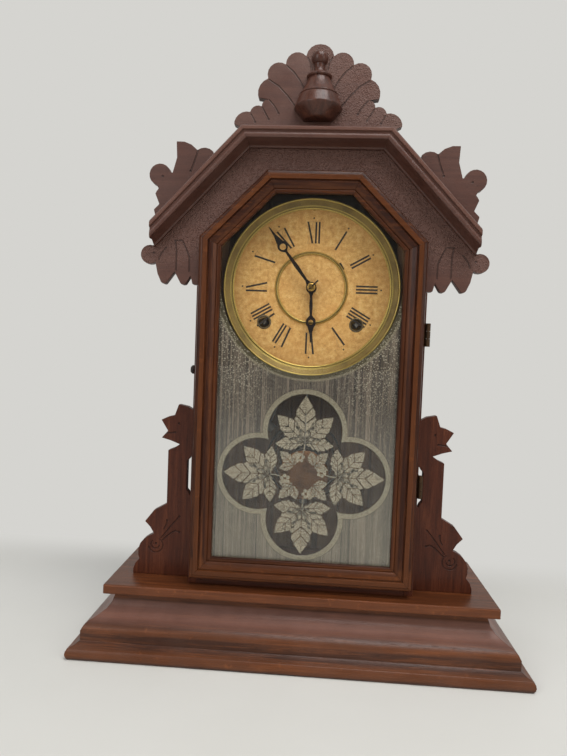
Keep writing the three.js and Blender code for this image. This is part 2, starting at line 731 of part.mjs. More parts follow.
/** Turn knob on the case side, with the claw that hooks the door's staple. */
function latch() {
  const polar = (radius, degrees) => {
    const angle = (degrees * Math.PI) / 180;
    return [LATCH_Y + radius * Math.cos(angle), LATCH_Z + radius * Math.sin(angle)];
  };
  const tip = 245;
  const heel = 320;
  const sweep = Math.tan(((heel - tip) * Math.PI) / 720);
  const claw = outline([
    [...polar(CLAW_INNER_RADIUS, heel), -sweep],
    [...polar(CLAW_INNER_RADIUS, tip)],
    [...polar(CLAW_OUTER_RADIUS, tip), sweep],
    [...polar(CLAW_OUTER_RADIUS, heel)],
    [...polar(3, heel + 50)],
    [...polar(3, heel - 50)],
  ]);
  const rodX = (radius, sides, x0, x1) => alongX(circle(radius, sides, LATCH_Y, LATCH_Z), x0, x1);
  const outside = -CASE_HALF_WIDTH;
  const clawRight = outside + CLAW_INSET;
  const clawLeft = clawRight - CLAW_THICKNESS;
  const knobProfile = [[0, 0], [2.4, 0], [2.6, 1], [4, 2.2], [4.2, 3.8], [2.8, 5.2], [0, 5.6]];
  const knob = new THREE.LatheGeometry(knobProfile.map(([r, h]) => new THREE.Vector2(r, h)), 12)
    .rotateZ(Math.PI / 2).translate(outside - CLEARANCE, LATCH_Y, LATCH_Z);
  piece('latch', joined(
    knob,
    rodX(LATCH_SHAFT_RADIUS, 12, outside - 1, clawRight),
    rodX(3.6, 12, clawLeft - 0.5, clawRight),
    alongX(claw, clawLeft, clawRight)), castIron);

  const middle = (clawLeft + clawRight) / 2;
  const inner = STAPLE_HALF_WIDTH - STAPLE_WIRE;
  const staple = [
    [-STAPLE_HALF_WIDTH, 0], [-inner, 0], [-inner, STAPLE_REACH - 2], [inner, STAPLE_REACH - 2],
    [inner, 0], [STAPLE_HALF_WIDTH, 0], [STAPLE_HALF_WIDTH, STAPLE_REACH], [-STAPLE_HALF_WIDTH, STAPLE_REACH],
  ].map(([x, y]) => new THREE.Vector2(middle + x, DOOR_BACK + y));
  piece('door_staple', alongZ(staple, LATCH_Z - 0.9, LATCH_Z + 0.9), brass);
}

// ---------------------------------------------------------------- dial and hands

function dial() {
  const keyHoles = [-1, 1].map((side) =>
    circle(KEY_HOLE_RADIUS, 16, side * KEY_HOLE_X, DIAL_Z - KEY_HOLE_DROP));
  const holes = [circle(5.2, 12, 0, DIAL_Z), ...keyHoles];
  piece('dial_pan', alongY(circle(BEZEL_RADIUS - 1, 40, 0, DIAL_Z), DIAL_FACE, PAN_BACK, holes), dialPaper);

  const bezelFront = DIAL_FACE - BEZEL_HEIGHT;
  const bezel = [
    [BEZEL_INNER_RADIUS, DIAL_FACE], [BEZEL_INNER_RADIUS + 0.3, DIAL_FACE - 1.4],
    [BEZEL_INNER_RADIUS + 1.4, DIAL_FACE - 2.2], [BEZEL_INNER_RADIUS + 2.6, DIAL_FACE - 1.9],
    [BEZEL_RADIUS - 2, bezelFront + 1], [BEZEL_RADIUS - 1.4, bezelFront],
    [BEZEL_RADIUS - 0.5, bezelFront + 0.2], [BEZEL_RADIUS, bezelFront + 1.6],
    [BEZEL_RADIUS, DIAL_FACE], [BEZEL_INNER_RADIUS, DIAL_FACE],
  ];
  piece('dial_bezel', turnedY(bezel, 40, 0, DIAL_Z), brass);

  const ring = [
    [CENTRE_RING_INNER_RADIUS, DIAL_FACE], [CENTRE_RING_INNER_RADIUS + 0.5, DIAL_FACE - 1.4],
    [CENTRE_RING_INNER_RADIUS + 1.7, DIAL_FACE - 2.2], [CENTRE_RING_RADIUS - 0.6, DIAL_FACE - 1.5],
    [CENTRE_RING_RADIUS, DIAL_FACE], [CENTRE_RING_INNER_RADIUS, DIAL_FACE],
  ];
  piece('dial_centre_ring', turnedY(ring, 32, 0, DIAL_Z), brass);
}

/** A hand lying along +Z from its boss, pierced at the boss and in its eye. */
function hand(blade, eyeHeight, eyeRadius, boreRadius, front, turnDegrees) {
  const eye = circle(eyeRadius, 10, 0, eyeHeight);
  const shape = alongY(outline(blade), front, front + HAND_THICKNESS, [circle(boreRadius, 8), eye]);
  return shape.rotateY((turnDegrees * Math.PI) / 180).translate(0, 0, DIAL_Z);
}

function hands() {
  const minuteBlade = mirroredOutline([
    [0, -5], [2, -4.6, 0.3], [4.6, 0, 0.3], [2.2, 4.6], [1.2, 8], [1.9, 24], [1.1, 40.6],
    [2.4, 42, 0.25], [4.9, 46.4, 0.2], [3.4, 50.6, -0.08], [0.4, 68.5], [0, 69],
  ]);
  const hourBlade = mirroredOutline([
    [0, -5.2], [2, -4.8, 0.3], [5, 0, 0.3], [2.2, 4.8], [1.2, 8], [1.7, 18], [1.1, 26],
    [2.6, 28, 0.3], [4.7, 32.4, 0.25], [3, 37, -0.1], [0.5, 51.5], [0, 52],
  ]);
  piece('minute_hand', hand(minuteBlade, 46.2, 3.1, 2.5, MINUTE_HAND_Y, MINUTE_HAND_TURN), bluedSteel);
  piece('hour_hand', hand(hourBlade, 32.6, 2.4, 3.7, HOUR_HAND_Y, HOUR_HAND_TURN), bluedSteel);
}

// ---------------------------------------------------------------- wheels and pinions

const at = ([x, z], shape) => shape.translate(x, 0, DIAL_Z + z);
const distance = (a, b) => Math.hypot(a[0] - b[0], a[1] - b[1]);
const meshDistance = (module, teethA, teethB) => (module * (teethA + teethB)) / 2;
const headingOf = (from, to) => Math.atan2(to[1] - from[1], to[0] - from[0]);
const polarFrom = ([x, z], radius, degrees) => {
  const angle = (degrees * Math.PI) / 180;
  return [x + radius * Math.cos(angle), z + radius * Math.sin(angle)];
};

/** The point at two given distances from a and b, on the right of the line from a to b. */
function pointFrom(a, b, fromA, fromB) {
  const span = distance(a, b);
  const along = (fromA ** 2 - fromB ** 2 + span ** 2) / (2 * span);
  const across = Math.sqrt(fromA ** 2 - along ** 2);
  const [ux, uz] = [(b[0] - a[0]) / span, (b[1] - a[1]) / span];
  return [a[0] + along * ux + across * uz, a[1] + along * uz - across * ux];
}

const TOOTH_TIP = 0.8;
const TOOTH_ROOT = 1.2;

/** Pointed teeth about the origin, with one tooth at the heading. */
function toothed(teeth, module, heading) {
  const pitch = (2 * Math.PI) / teeth;
  const root = (module * teeth) / 2 - TOOTH_ROOT * module;
  const tip = (module * teeth) / 2 + TOOTH_TIP * module;
  return Array.from({ length: teeth }, (_, i) => heading + i * pitch).flatMap((angle) =>
    [[root, -0.5], [tip, 0]].map(([radius, share]) =>
      new THREE.Vector2(radius * Math.cos(angle + share * pitch), radius * Math.sin(angle + share * pitch))));
}

/** The openings between a wheel's spokes. */
function crossings(rim, hub, spokes, spokeWidth) {
  return Array.from({ length: spokes }, (_, i) => {
    const start = (2 * Math.PI * i) / spokes;
    const end = (2 * Math.PI * (i + 1)) / spokes;
    const corner = (radius, angle, side) => {
      const inset = (side * spokeWidth) / 2 / radius;
      return new THREE.Vector2(radius * Math.cos(angle + inset), radius * Math.sin(angle + inset));
    };
    const middle = (start + end) / 2;
    return [
      corner(hub, start, 1), corner(rim, start, 1), corner(rim, (start + middle) / 2, 0.5),
      corner(rim, middle, 0), corner(rim, (middle + end) / 2, -0.5), corner(rim, end, -1),
      corner(hub, end, -1),
    ];
  });
}

/** A toothed wheel with four spokes. */
function wheel(teeth, module, heading, front, thickness = WHEEL_THICKNESS, hubRadius = 4) {
  const rim = (module * teeth) / 2 - (TOOTH_ROOT + 1.6) * module;
  const openings = rim > hubRadius + 3 ? crossings(rim, hubRadius, 4, 2.4) : [];
  return alongY(toothed(teeth, module, heading), front, front + thickness, openings);
}

/** A lantern pinion: pins between two shrouds, with the gap between two pins at the heading. */
function lantern(pins, module, heading, front, back) {
  const pitchRadius = (module * pins) / 2;
  const pinRadius = 0.5 * module;
  const shroud = 0.6;
  const shroudRadius = pitchRadius + pinRadius + 0.4;
  const rods = Array.from({ length: pins }, (_, i) => {
    const angle = heading + ((i + 0.5) * 2 * Math.PI) / pins;
    return rodY(pinRadius, 5, front + shroud / 2, back - shroud / 2,
      pitchRadius * Math.cos(angle), pitchRadius * Math.sin(angle));
  });
  const frontShroud = rodY(shroudRadius, 10, front, front + shroud);
  const backShroud = rodY(shroudRadius, 10, back - shroud, back);
  return [...rods, frontShroud, backShroud];
}

/** A steel arbor with a pivot at each end in the plates. */
function arbor(radius, front = PLATE_INNER + CLEARANCE, back = BACK_PLATE_Y - CLEARANCE) {
  return [
    rodY(radius, 8, front, back),
    rodY(PIVOT_RADIUS, 6, FRONT_PLATE_Y + CLEARANCE, BACK_PLATE_Y + PLATE_THICKNESS - CLEARANCE),
  ];
}

// arbor places, measured from the middle of the dial
const CENTRE = [0, 0];
const TIME_GREAT = WINDING;
const STRIKE_GREAT = [-WINDING[0], WINDING[1]];
const SECOND = pointFrom(TIME_GREAT, CENTRE,
  meshDistance(GREAT_MODULE, GREAT_TEETH, SECOND_PINS),
  meshDistance(SECOND_MODULE, SECOND_TEETH, CENTRE_PINION_TEETH));
const ESCAPE = [0, -ESCAPE_DROP];
const THIRD = pointFrom(ESCAPE, CENTRE,
  meshDistance(THIRD_MODULE, THIRD_TEETH, ESCAPE_PINS),
  meshDistance(CENTRE_MODULE, CENTRE_TEETH, THIRD_PINS));
const STRIKE_SECOND = [-SECOND[0], SECOND[1]];
const FLY = polarFrom(STRIKE_SECOND,
  meshDistance(STRIKE_SECOND_MODULE, STRIKE_SECOND_TEETH, FLY_PINS), FLY_DIRECTION);
const MINUTE_STUD = polarFrom(CENTRE,
  meshDistance(MOTION_MODULE, CANNON_TEETH, MINUTE_WHEEL_TEETH), MOTION_DIRECTION);

// depths of the wheels between the plates
const SECOND_WHEEL_Y = 8.8;
const CENTRE_WHEEL_Y = 12;
const THIRD_WHEEL_Y = 28.6;
const GREAT_WHEEL_Y = 31.5;
const HOUR_WHEEL_Y = 1.2;
const MINUTE_WHEEL_Y = 3.4;
const ESCAPE_WHEEL_Y = 3;

function timeTrain() {
  const secondSide = headingOf(TIME_GREAT, SECOND);
  piece('second_wheel', at(SECOND, geometryOf(joined(
    wheel(SECOND_TEETH, SECOND_MODULE, headingOf(SECOND, CENTRE), SECOND_WHEEL_Y),
    ...lantern(SECOND_PINS, GREAT_MODULE, secondSide + Math.PI, GREAT_WHEEL_Y - 0.9, GREAT_WHEEL_Y + 2.9),
    ...arbor(1.5)))), brass);

  const centrePinionHeading = headingOf(CENTRE, SECOND) + Math.PI / CENTRE_PINION_TEETH;
  piece('centre_wheel', at(CENTRE, geometryOf(joined(
    wheel(CENTRE_TEETH, CENTRE_MODULE, headingOf(CENTRE, THIRD), CENTRE_WHEEL_Y, WHEEL_THICKNESS, 5),
    alongY(toothed(CENTRE_PINION_TEETH, SECOND_MODULE, centrePinionHeading),
      SECOND_WHEEL_Y - 0.3, SECOND_WHEEL_Y + 1.5),
    ...arbor(1.8),
    rodY(1.1, 8, MINUTE_HAND_Y - 3, PLATE_INNER + 1)))), brass);

  piece('third_wheel', at(THIRD, geometryOf(joined(
    wheel(THIRD_TEETH, THIRD_MODULE, headingOf(THIRD, ESCAPE), THIRD_WHEEL_Y, 1),
    ...lantern(THIRD_PINS, CENTRE_MODULE, headingOf(THIRD, CENTRE),
      CENTRE_WHEEL_Y - 1.2, CENTRE_WHEEL_Y + 2.5),
    ...arbor(0.9)))), brass);

  piece('escape_wheel', at(ESCAPE, geometryOf(joined(
    alongY(escapeOutline(), ESCAPE_WHEEL_Y, ESCAPE_WHEEL_Y + 1, crossings(9.4, 3, 4, 1.8)),
    ...lantern(ESCAPE_PINS, THIRD_MODULE, headingOf(ESCAPE, THIRD), THIRD_WHEEL_Y - 1.3, THIRD_WHEEL_Y + 2.3),
    ...arbor(1),
    rodY(PIVOT_RADIUS, 6, ESCAPE_WHEEL_Y - 0.6, PLATE_INNER + 1)))), brass);
}

/** Slender raked teeth of the recoil escapement. */
function escapeOutline() {
  const pitch = (2 * Math.PI) / ESCAPE_TEETH;
  return Array.from({ length: ESCAPE_TEETH }, (_, i) => i * pitch).flatMap((angle) =>
    [[ESCAPE_RADIUS - 2.4, 0], [ESCAPE_RADIUS, 0.62]].map(([radius, share]) =>
      new THREE.Vector2(radius * Math.cos(angle + share * pitch), radius * Math.sin(angle + share * pitch))));
}

/** A great wheel that turns on its winding arbor, with the click that rests by the ratchet. */
function greatWheel(name, place, pinionPlace) {
  const bore = WINDING_ARBOR_RADIUS + CLEARANCE + 0.2;
  const click = outline([[9, -2], [10.4, -2.6], [12, -2.4], [12, 1.4], [10.6, 1.4]]);
  const body = joined(
    wheel(GREAT_TEETH, GREAT_MODULE, headingOf(place, pinionPlace), GREAT_WHEEL_Y, 1.5, 7),
    rodY(5, 12, GREAT_WHEEL_Y, GREAT_WHEEL_Y + 3),
    alongY(click, GREAT_WHEEL_Y - 2, GREAT_WHEEL_Y + 0.5),
    alongY(circle(6.9, 12), GREAT_WHEEL_Y, GREAT_WHEEL_Y + 1.5),
    alongY(outline([[5, -3], [13, -3.4], [13, 3.4], [5, 3]]), GREAT_WHEEL_Y, GREAT_WHEEL_Y + 1.5));
  const hole = solid(rodY(bore, 12, GREAT_WHEEL_Y - 3, GREAT_WHEEL_Y + 5));
  piece(name, at(place, geometryOf(body.subtract(hole))), brass);
}

/** A winding arbor: squared end for the key, ratchet and pivots. */
function windingArbor(name, place, hand) {
  const ratchetTeeth = 16;
  const pitch = (2 * Math.PI) / ratchetTeeth;
  const ratchet = Array.from({ length: ratchetTeeth }, (_, i) => i * pitch).flatMap((angle) =>
    [[6.6, 0], [8, 0.1 * hand]].map(([radius, share]) =>
      new THREE.Vector2(radius * Math.cos(angle + share * pitch), radius * Math.sin(angle + share * pitch))));
  piece(name, at(place, geometryOf(joined(
    rodY(2.3, 4, PAN_BACK + CLEARANCE, FRONT_PLATE_Y - 2),
    rodY(WINDING_ARBOR_RADIUS, 8, FRONT_PLATE_Y - 2.5, BACK_PLATE_Y - CLEARANCE),
    rodY(1.6, 8, BACK_PLATE_Y - 1, BACK_PLATE_Y + PLATE_THICKNESS - CLEARANCE),
    alongY(ratchet, GREAT_WHEEL_Y - 2.1, GREAT_WHEEL_Y - CLEARANCE)))), steel);
}

/** Centre line of a mainspring, ending beside the pillar that holds it. */
function springLine(place, hand) {
  const pillar = [hand * BOTTOM_PILLAR[0], BOTTOM_PILLAR[1]];
  const heading = headingOf(place, pillar);
  const reach = distance(place, pillar) - PILLAR_RADIUS - CLEARANCE - SPRING_THICKNESS / 2;
  const stepsPerTurn = 16;
  const steps = SPRING_TURNS * stepsPerTurn;
  return Array.from({ length: steps + 1 }, (_, i) => {
    const share = i / steps;
    const angle = heading - hand * (1 - share) * SPRING_TURNS * 2 * Math.PI;
    const turnsLeft = (1 - share) * SPRING_TURNS;
    const coil = SPRING_INNER_RADIUS + (SPRING_OUTER_RADIUS - SPRING_INNER_RADIUS) * share;
    const loosened = Math.max(0, 1 - turnsLeft / 0.25) * (reach - SPRING_OUTER_RADIUS);
    return [(coil + loosened) * Math.cos(angle), (coil + loosened) * Math.sin(angle)];
  });
}

/** A strip of constant thickness along a flat line, standing between two depths. */
function stripAlong(line, thickness, front, back) {
  const side = (i, sign) => {
    const before = line[Math.max(0, i - 1)];
    const after = line[Math.min(line.length - 1, i + 1)];
    const length = distance(before, after);
    const normal = [-(after[1] - before[1]) / length, (after[0] - before[0]) / length];
    const [x, z] = line[i].map((value, k) => value + (sign * normal[k] * thickness) / 2);
    return new THREE.Vector2(x, z);
  };
  const leftEdge = line.map((_, i) => side(i, 1));
  const rightEdge = line.map((_, i) => side(i, -1)).reverse();
  return alongY([...leftEdge, ...rightEdge], front, back);
}

/** The least distance between points of a line that lie over half a turn apart. */
function leastGap(line, apart, thickness) {
  let least = Infinity;
  line.forEach((p, i) => line.slice(i + apart).forEach((q) => {
    least = Math.min(least, Math.hypot(...p.map((v, k) => v - q[k])));
  }));
  return least - thickness;
}

function mainspring(name, place, hand) {
  const line = springLine(place, hand);
  console.log(`${name}: least gap between turns ${leastGap(line, 9, SPRING_THICKNESS).toFixed(2)} mm`);
  const strip = stripAlong(line, SPRING_THICKNESS, SPRING_FRONT, SPRING_FRONT + SPRING_WIDTH);
  piece(name, at(place, strip), steel);
}

function springBarrels() {
  greatWheel('time_great_wheel', TIME_GREAT, SECOND);
  windingArbor('time_winding_arbor', TIME_GREAT, 1);
  mainspring('time_mainspring', TIME_GREAT, 1);
  greatWheel('strike_great_wheel', STRIKE_GREAT, STRIKE_SECOND);
  windingArbor('strike_winding_arbor', STRIKE_GREAT, -1);
  mainspring('strike_mainspring', STRIKE_GREAT, -1);
}

function strikeTrain() {
  piece('strike_second_wheel', at(STRIKE_SECOND, geometryOf(joined(
    wheel(STRIKE_SECOND_TEETH, STRIKE_SECOND_MODULE, headingOf(STRIKE_SECOND, FLY), SECOND_WHEEL_Y),
    ...lantern(SECOND_PINS, GREAT_MODULE, headingOf(STRIKE_SECOND, STRIKE_GREAT),
      GREAT_WHEEL_Y - 0.9, GREAT_WHEEL_Y + 2.9),
    ...arbor(1.5)))), brass);
  piece('fly', at(FLY, geometryOf(joined(
    ...lantern(FLY_PINS, STRIKE_SECOND_MODULE, headingOf(FLY, STRIKE_SECOND),
      SECOND_WHEEL_Y - 0.9, SECOND_WHEEL_Y + 2.4),
    block([-12, 15, -0.4], [12, 27, 0.4]),
    ...arbor(1.2)))), brass);
}

/** The wheels in front of the plate that turn the hour hand once for twelve of the minute hand's. */
function motionWorks() {
  const toMinute = headingOf(CENTRE, MINUTE_STUD);
  const bored = (body, radius) => body.subtract(solid(rodY(radius, 8, -30, FRONT_PLATE_Y)));

  const cannon = joined(
    alongY(toothed(CANNON_TEETH, MOTION_MODULE, toMinute + Math.PI / CANNON_TEETH), 3.2, 5.2),
    rodY(1.95, 10, MINUTE_HAND_Y - 0.4, 5.2));
  piece('cannon_pinion', at(CENTRE, geometryOf(bored(cannon, 1.45))), brass);

  const minute = joined(
    wheel(MINUTE_WHEEL_TEETH, MOTION_MODULE, toMinute + Math.PI, MINUTE_WHEEL_Y, 1.4, 3.4),
    alongY(toothed(MINUTE_PINION_TEETH, MOTION_MODULE, toMinute + Math.PI + Math.PI / MINUTE_PINION_TEETH),
      HOUR_WHEEL_Y - 0.3, MINUTE_WHEEL_Y));
  piece('minute_wheel', at(MINUTE_STUD, geometryOf(bored(minute, 1.3))), brass);

  const hour = joined(
    wheel(HOUR_TEETH, MOTION_MODULE, toMinute, HOUR_WHEEL_Y, 1.2, 4.6),
    rodY(3.1, 10, HOUR_HAND_Y - 0.4, HOUR_WHEEL_Y + 1.6));
  piece('hour_wheel', at(CENTRE, geometryOf(bored(hour, 2.5))), brass);
}

// ---------------------------------------------------------------- movement frame

const bothSides = ([x, z]) => [[x, z], [-x, z]];

const platePivots = [SECOND, THIRD, ESCAPE, STRIKE_SECOND, FLY];

/** Windows that lighten both plates, clear of every pivot. */
const plateWindows = [
  [[8, 17], [44, 14], [44, 44], [8, 46]],
  [[-44, 20], [-38, 14], [-38, 44], [-44, 44]],
  [[-24, -32], [-13, -32], [-13, -13], [-18, -9], [-23, -15]],
  [[27, -50], [34, -50], [33, -59], [27, -59]],
].map((corners) => corners.map(([x, z]) => new THREE.Vector2(x, z)));

function plate(front, extraHoles) {
  const edge = outline(mirroredOutline([
    [0, PLATE_BOTTOM], [34, PLATE_BOTTOM], [46, -48], [PLATE_HALF_WIDTH, -44, 0],
    [PLATE_HALF_WIDTH, PLATE_TOP - 6, 0.414], [PLATE_HALF_WIDTH - 6, PLATE_TOP], [0, PLATE_TOP],
  ]));
  const pivotHoles = platePivots.map(([x, z]) => circle(PIVOT_HOLE_RADIUS, 6, x, z));
  return alongY(edge, front, front + PLATE_THICKNESS, [...pivotHoles, ...extraHoles, ...plateWindows]);
}

function frontPlate() {
  const [studX, studZ] = MINUTE_STUD;
  const windingHoles = bothSides(WINDING).map(([x, z]) => circle(WINDING_ARBOR_RADIUS + 0.6, 8, x, z));
  const bridge = outline([
    [-10.5, FRONT_PLATE_Y], [-10.5, ROD_Y - 1.2], [10.5, ROD_Y - 1.2], [10.5, FRONT_PLATE_Y],
    [8.5, FRONT_PLATE_Y], [8.5, ROD_Y + 1.2], [-8.5, ROD_Y + 1.2], [-8.5, FRONT_PLATE_Y],
  ]);
  const bridgeBottom = -SWING_DROP + 2.5;
  const bridgeTop = -SWING_DROP + 6.5;
  const bridgeFoot = (x0, x1) => solid(block(
    [x0, FRONT_PLATE_Y - 1, bridgeBottom], [x1, FRONT_PLATE_Y + 0.5, bridgeTop]));
  const body = solid(plate(FRONT_PLATE_Y, [...windingHoles, circle(1.6, 8), circle(2, 8, ...HAMMER_PIVOT)]))
    .add(solid(rodY(0.9, 8, 0.6, FRONT_PLATE_Y + 1, studX, studZ)))
    .add(solid(rodY(0.9, 8, 0.2, FRONT_PLATE_Y + 1, 0, -SWING_DROP)))
    .add(solid(alongZ(bridge, bridgeBottom, bridgeTop)))
    .add(bridgeFoot(8.5, 10.5))
    .add(bridgeFoot(-10.5, -8.5));
  piece('front_plate', at(CENTRE, geometryOf(body)), brass);
}

/** Back plate with its riveted pillars, which run on to the backboard as feet. */
function backPlate() {
  const holes = [circle(2, 8, ...WINDING), circle(2, 8, -WINDING[0], WINDING[1]),
    circle(PIVOT_HOLE_RADIUS, 6), circle(2, 8, ...HAMMER_PIVOT)];
  const pillars = [...bothSides(TOP_PILLAR), ...bothSides(BOTTOM_PILLAR)];
  const body = pillars.reduce((all, [x, z]) => all
    .add(solid(rodY(PILLAR_RADIUS, 8, PLATE_INNER, CASE_BACK, x, z))), solid(plate(BACK_PLATE_Y, holes)));
  piece('back_plate', at(CENTRE, geometryOf(body)), brass);
}

// ---------------------------------------------------------------- verge and pendulum

function verge() {
  const anchor = outline(mirroredOutline([
    [0, -3], [2.6, -1.8], [8, -4.9], [9.4, -6.2], [10.9, -7.4], [11.6, -6.4], [10.3, -4],
    [2.6, 1.4], [0, 2.8],
  ]));
  const foot = CRUTCH_FOOT + SWING_DROP;
  const slot = ROD_RADIUS + CLEARANCE;
  const body = joined(
    alongY(anchor, 1.6, 5),
    rodY(2.8, 10, -0.8, 5.2),
    block([-1, -2.2, foot + 2], [1, -0.7, 2]),
    block([-slot - 1, ROD_Y - 2.1, foot], [slot + 1, -0.8, foot + 3]));
  const cuts = joined(rodY(1.3, 8, -0.8 + CLEARANCE, 8));
  const fork = solid(block([-slot, ROD_Y - 3, foot - 1], [slot, ROD_Y + 2, foot + 4]));
  piece('verge', at([0, -SWING_DROP], geometryOf(body.subtract(cuts).subtract(fork))), steel);
}

function pendulum() {
  const pivotZ = DIAL_Z - SWING_DROP;
  const stripTop = pivotZ + 2.5 - CLEARANCE;
  const rodTop = pivotZ - 11;
  const rodFoot = BOB_Z - BOB_RADIUS - 11;
  const nutTop = BOB_Z - BOB_RADIUS - CLEARANCE;
  const upright = (radius, sides, z0, z1) => alongZ(circle(radius, sides, 0, ROD_Y), z0, z1);
  piece('pendulum_rod', joined(
    block([-0.15, ROD_Y - 1.8, rodTop - 2], [0.15, ROD_Y + 1.8, stripTop]),
    block([-0.7, ROD_Y - 1.2, rodTop - 4], [0.7, ROD_Y + 1.2, rodTop]),
    upright(ROD_RADIUS, 8, rodFoot, rodTop - 1),
    upright(3.6, 12, nutTop - 3, nutTop)), steel);

  const half = BOB_THICKNESS / 2;
  const lens = turnedY([
    [0, -half], [9, -half + 0.7], [17, -half + 2.4], [23, -half + 4.6], [BOB_RADIUS, -0.8], [BOB_RADIUS, 0.8],
    [23, half - 4.6], [17, half - 2.4], [9, half - 0.7], [0, half],
  ], 24, 0, BOB_Z).translate(0, ROD_Y, 0);
  const slot = solid(block([-1.1, ROD_Y - 1.1, BOB_Z - 30], [1.1, ROD_Y + 12, BOB_Z + 30]));
  piece('pendulum_bob', solid(lens).subtract(slot), brass);
}

// ---------------------------------------------------------------- gong and hammer

/** Round wire along a line of points that lie in one x-z plane. */
function wire(points, radius, sides) {
  const curve = new THREE.CatmullRomCurve3(points);
  const section = circle(radius, sides);
  return new THREE.ExtrudeGeometry(new THREE.Shape(section), {
    steps: points.length - 1, extrudePath: curve, bevelEnabled: false,
  });
}

function gong() {
  const perTurn = 24;
  const steps = GONG_TURNS * perTurn;
  const line = Array.from({ length: steps + 1 }, (_, i) => {
    const angle = (2 * Math.PI * i) / perTurn;
    const radius = GONG_INNER_RADIUS + ((GONG_OUTER_RADIUS - GONG_INNER_RADIUS) * i) / steps;
    return new THREE.Vector3(radius * Math.cos(angle), GONG_Y, GONG_Z + radius * Math.sin(angle));
  });
  const gap = leastGap(line.map((p) => p.toArray()), 13, 2 * GONG_WIRE_RADIUS);
  console.log(`gong_coil: least gap between turns ${gap.toFixed(2)} mm`);
  piece('gong_coil', wire(line, GONG_WIRE_RADIUS, 6), steel);

  const foot = CASE_BACK;
  const post = turnedY([
    [0, foot], [GONG_BASE_RADIUS, foot], [GONG_BASE_RADIUS, foot - 2], [9.4, foot - 4.6],
    [5.6, GONG_Y + 4], [4.6, GONG_Y + 3], [4.6, GONG_Y - 3], [0, GONG_Y - 3],
  ], 14, 0, GONG_Z);
  const arm = block([3, GONG_Y - 2.6, GONG_Z - 3.4],
    [GONG_INNER_RADIUS + 1.6, GONG_Y + 2.6, GONG_Z - CLEARANCE]);
  piece('gong_base', joined(post, arm), castIron);
}

/** The hammer hangs beside the coil and is lifted away from it by the strike train. */
function hammer() {
  const [pivotX, pivotZ] = [HAMMER_PIVOT[0], DIAL_Z + HAMMER_PIVOT[1]];
  const angle = (HAMMER_STRIKE_ANGLE * Math.PI) / 180;
  const outward = new THREE.Vector2(Math.cos(angle), Math.sin(angle));
  const faceRadius = GONG_OUTER_RADIUS + GONG_WIRE_RADIUS + HAMMER_GAP;
  const middle = outward.clone().multiplyScalar(faceRadius + HAMMER_HEAD_LENGTH / 2);
  middle.y += GONG_Z;
  const head = new THREE.CylinderGeometry(HAMMER_HEAD_RADIUS, HAMMER_HEAD_RADIUS, HAMMER_HEAD_LENGTH, 12)
    .rotateX(Math.PI / 2).rotateY(Math.PI / 2).rotateY(-angle)
    .translate(middle.x, GONG_Y, middle.y);
  const armY = BACK_PLATE_Y + PLATE_THICKNESS + 4;
  const arm = wire([
    new THREE.Vector3(pivotX, armY, pivotZ),
    new THREE.Vector3((pivotX * 2 + middle.x) / 3 + 1, armY, (pivotZ * 2 + middle.y) / 3),
    new THREE.Vector3((pivotX + middle.x * 2) / 3 + 0.5, armY + 1, (pivotZ + middle.y * 2) / 3),
    new THREE.Vector3(middle.x, GONG_Y, middle.y),
  ], 1, 6);
  piece('hammer', joined(head, arm,
    rodY(1.6, 8, FRONT_PLATE_Y + CLEARANCE, armY + 1.4, pivotX, pivotZ)), steel);
}

// ---------------------------------------------------------------- assembly

base();
caseBox();
head();
headMoulding();
door();
HINGE_CENTRES.forEach((z, i) => hinge(`hinge_${['upper', 'lower'][i]}`, z));
latch();
dial();
hands();
frontPlate();
backPlate();
springBarrels();
timeTrain();
strikeTrain();
motionWorks();
verge();
pendulum();
gong();
hammer();

export default clock;
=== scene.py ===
"""Dresses the walnut shelf clock: carved worn wood with painted sheen, highlights and shade, aged brass with
painted highlights, a faded paper dial, a stencilled glass.
"""

import json
import math

import bmesh
import bpy
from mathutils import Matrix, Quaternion, Vector

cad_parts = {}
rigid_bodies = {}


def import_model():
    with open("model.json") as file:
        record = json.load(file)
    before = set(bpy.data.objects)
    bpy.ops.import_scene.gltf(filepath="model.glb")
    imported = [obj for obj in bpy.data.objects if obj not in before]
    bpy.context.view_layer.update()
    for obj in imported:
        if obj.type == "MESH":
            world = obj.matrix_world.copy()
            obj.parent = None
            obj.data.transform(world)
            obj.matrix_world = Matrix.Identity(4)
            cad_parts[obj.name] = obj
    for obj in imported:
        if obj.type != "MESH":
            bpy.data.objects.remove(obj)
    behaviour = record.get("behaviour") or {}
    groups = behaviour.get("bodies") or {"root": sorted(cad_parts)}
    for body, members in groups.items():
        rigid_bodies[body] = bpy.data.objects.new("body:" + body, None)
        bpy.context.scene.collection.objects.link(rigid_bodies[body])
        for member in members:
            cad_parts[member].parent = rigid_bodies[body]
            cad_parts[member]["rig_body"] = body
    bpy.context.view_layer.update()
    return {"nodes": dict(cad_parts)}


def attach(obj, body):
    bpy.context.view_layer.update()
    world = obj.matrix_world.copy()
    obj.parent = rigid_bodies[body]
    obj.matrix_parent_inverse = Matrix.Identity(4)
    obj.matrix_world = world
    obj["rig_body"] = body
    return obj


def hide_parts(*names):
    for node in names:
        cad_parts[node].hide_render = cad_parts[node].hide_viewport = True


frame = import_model()
MM = 0.001

# places taken from the solids, in millimetres
DIAL_Z = 345.5
DIAL_FACE = -10.0
GLASS_BACK = -37.0
WOOD_FRONT = -34.0
BRACKET_FRONT = -19.6
BOARD_TOP = 63.4
DOOR_RAIL_TOP = 91.8
HEAD_TOP = 481.0
HEAD_FLAT, HEAD_FALL = 66.0, 1.067
WINDING_X, WINDING_DROP = 44.0, 33.5
BOB_Y, BOB_Z = -4.4, 165.0
HINGE_FACE = 105.6
HINGE_HEIGHTS = {"upper": 304.0, "lower": 166.0}
BACKBOARD_SCREWS = [(x, z) for z in (80.0, 250.0, 430.0) for x in (-98.0, 98.0)]
BACKBOARD_FACE = 66.0

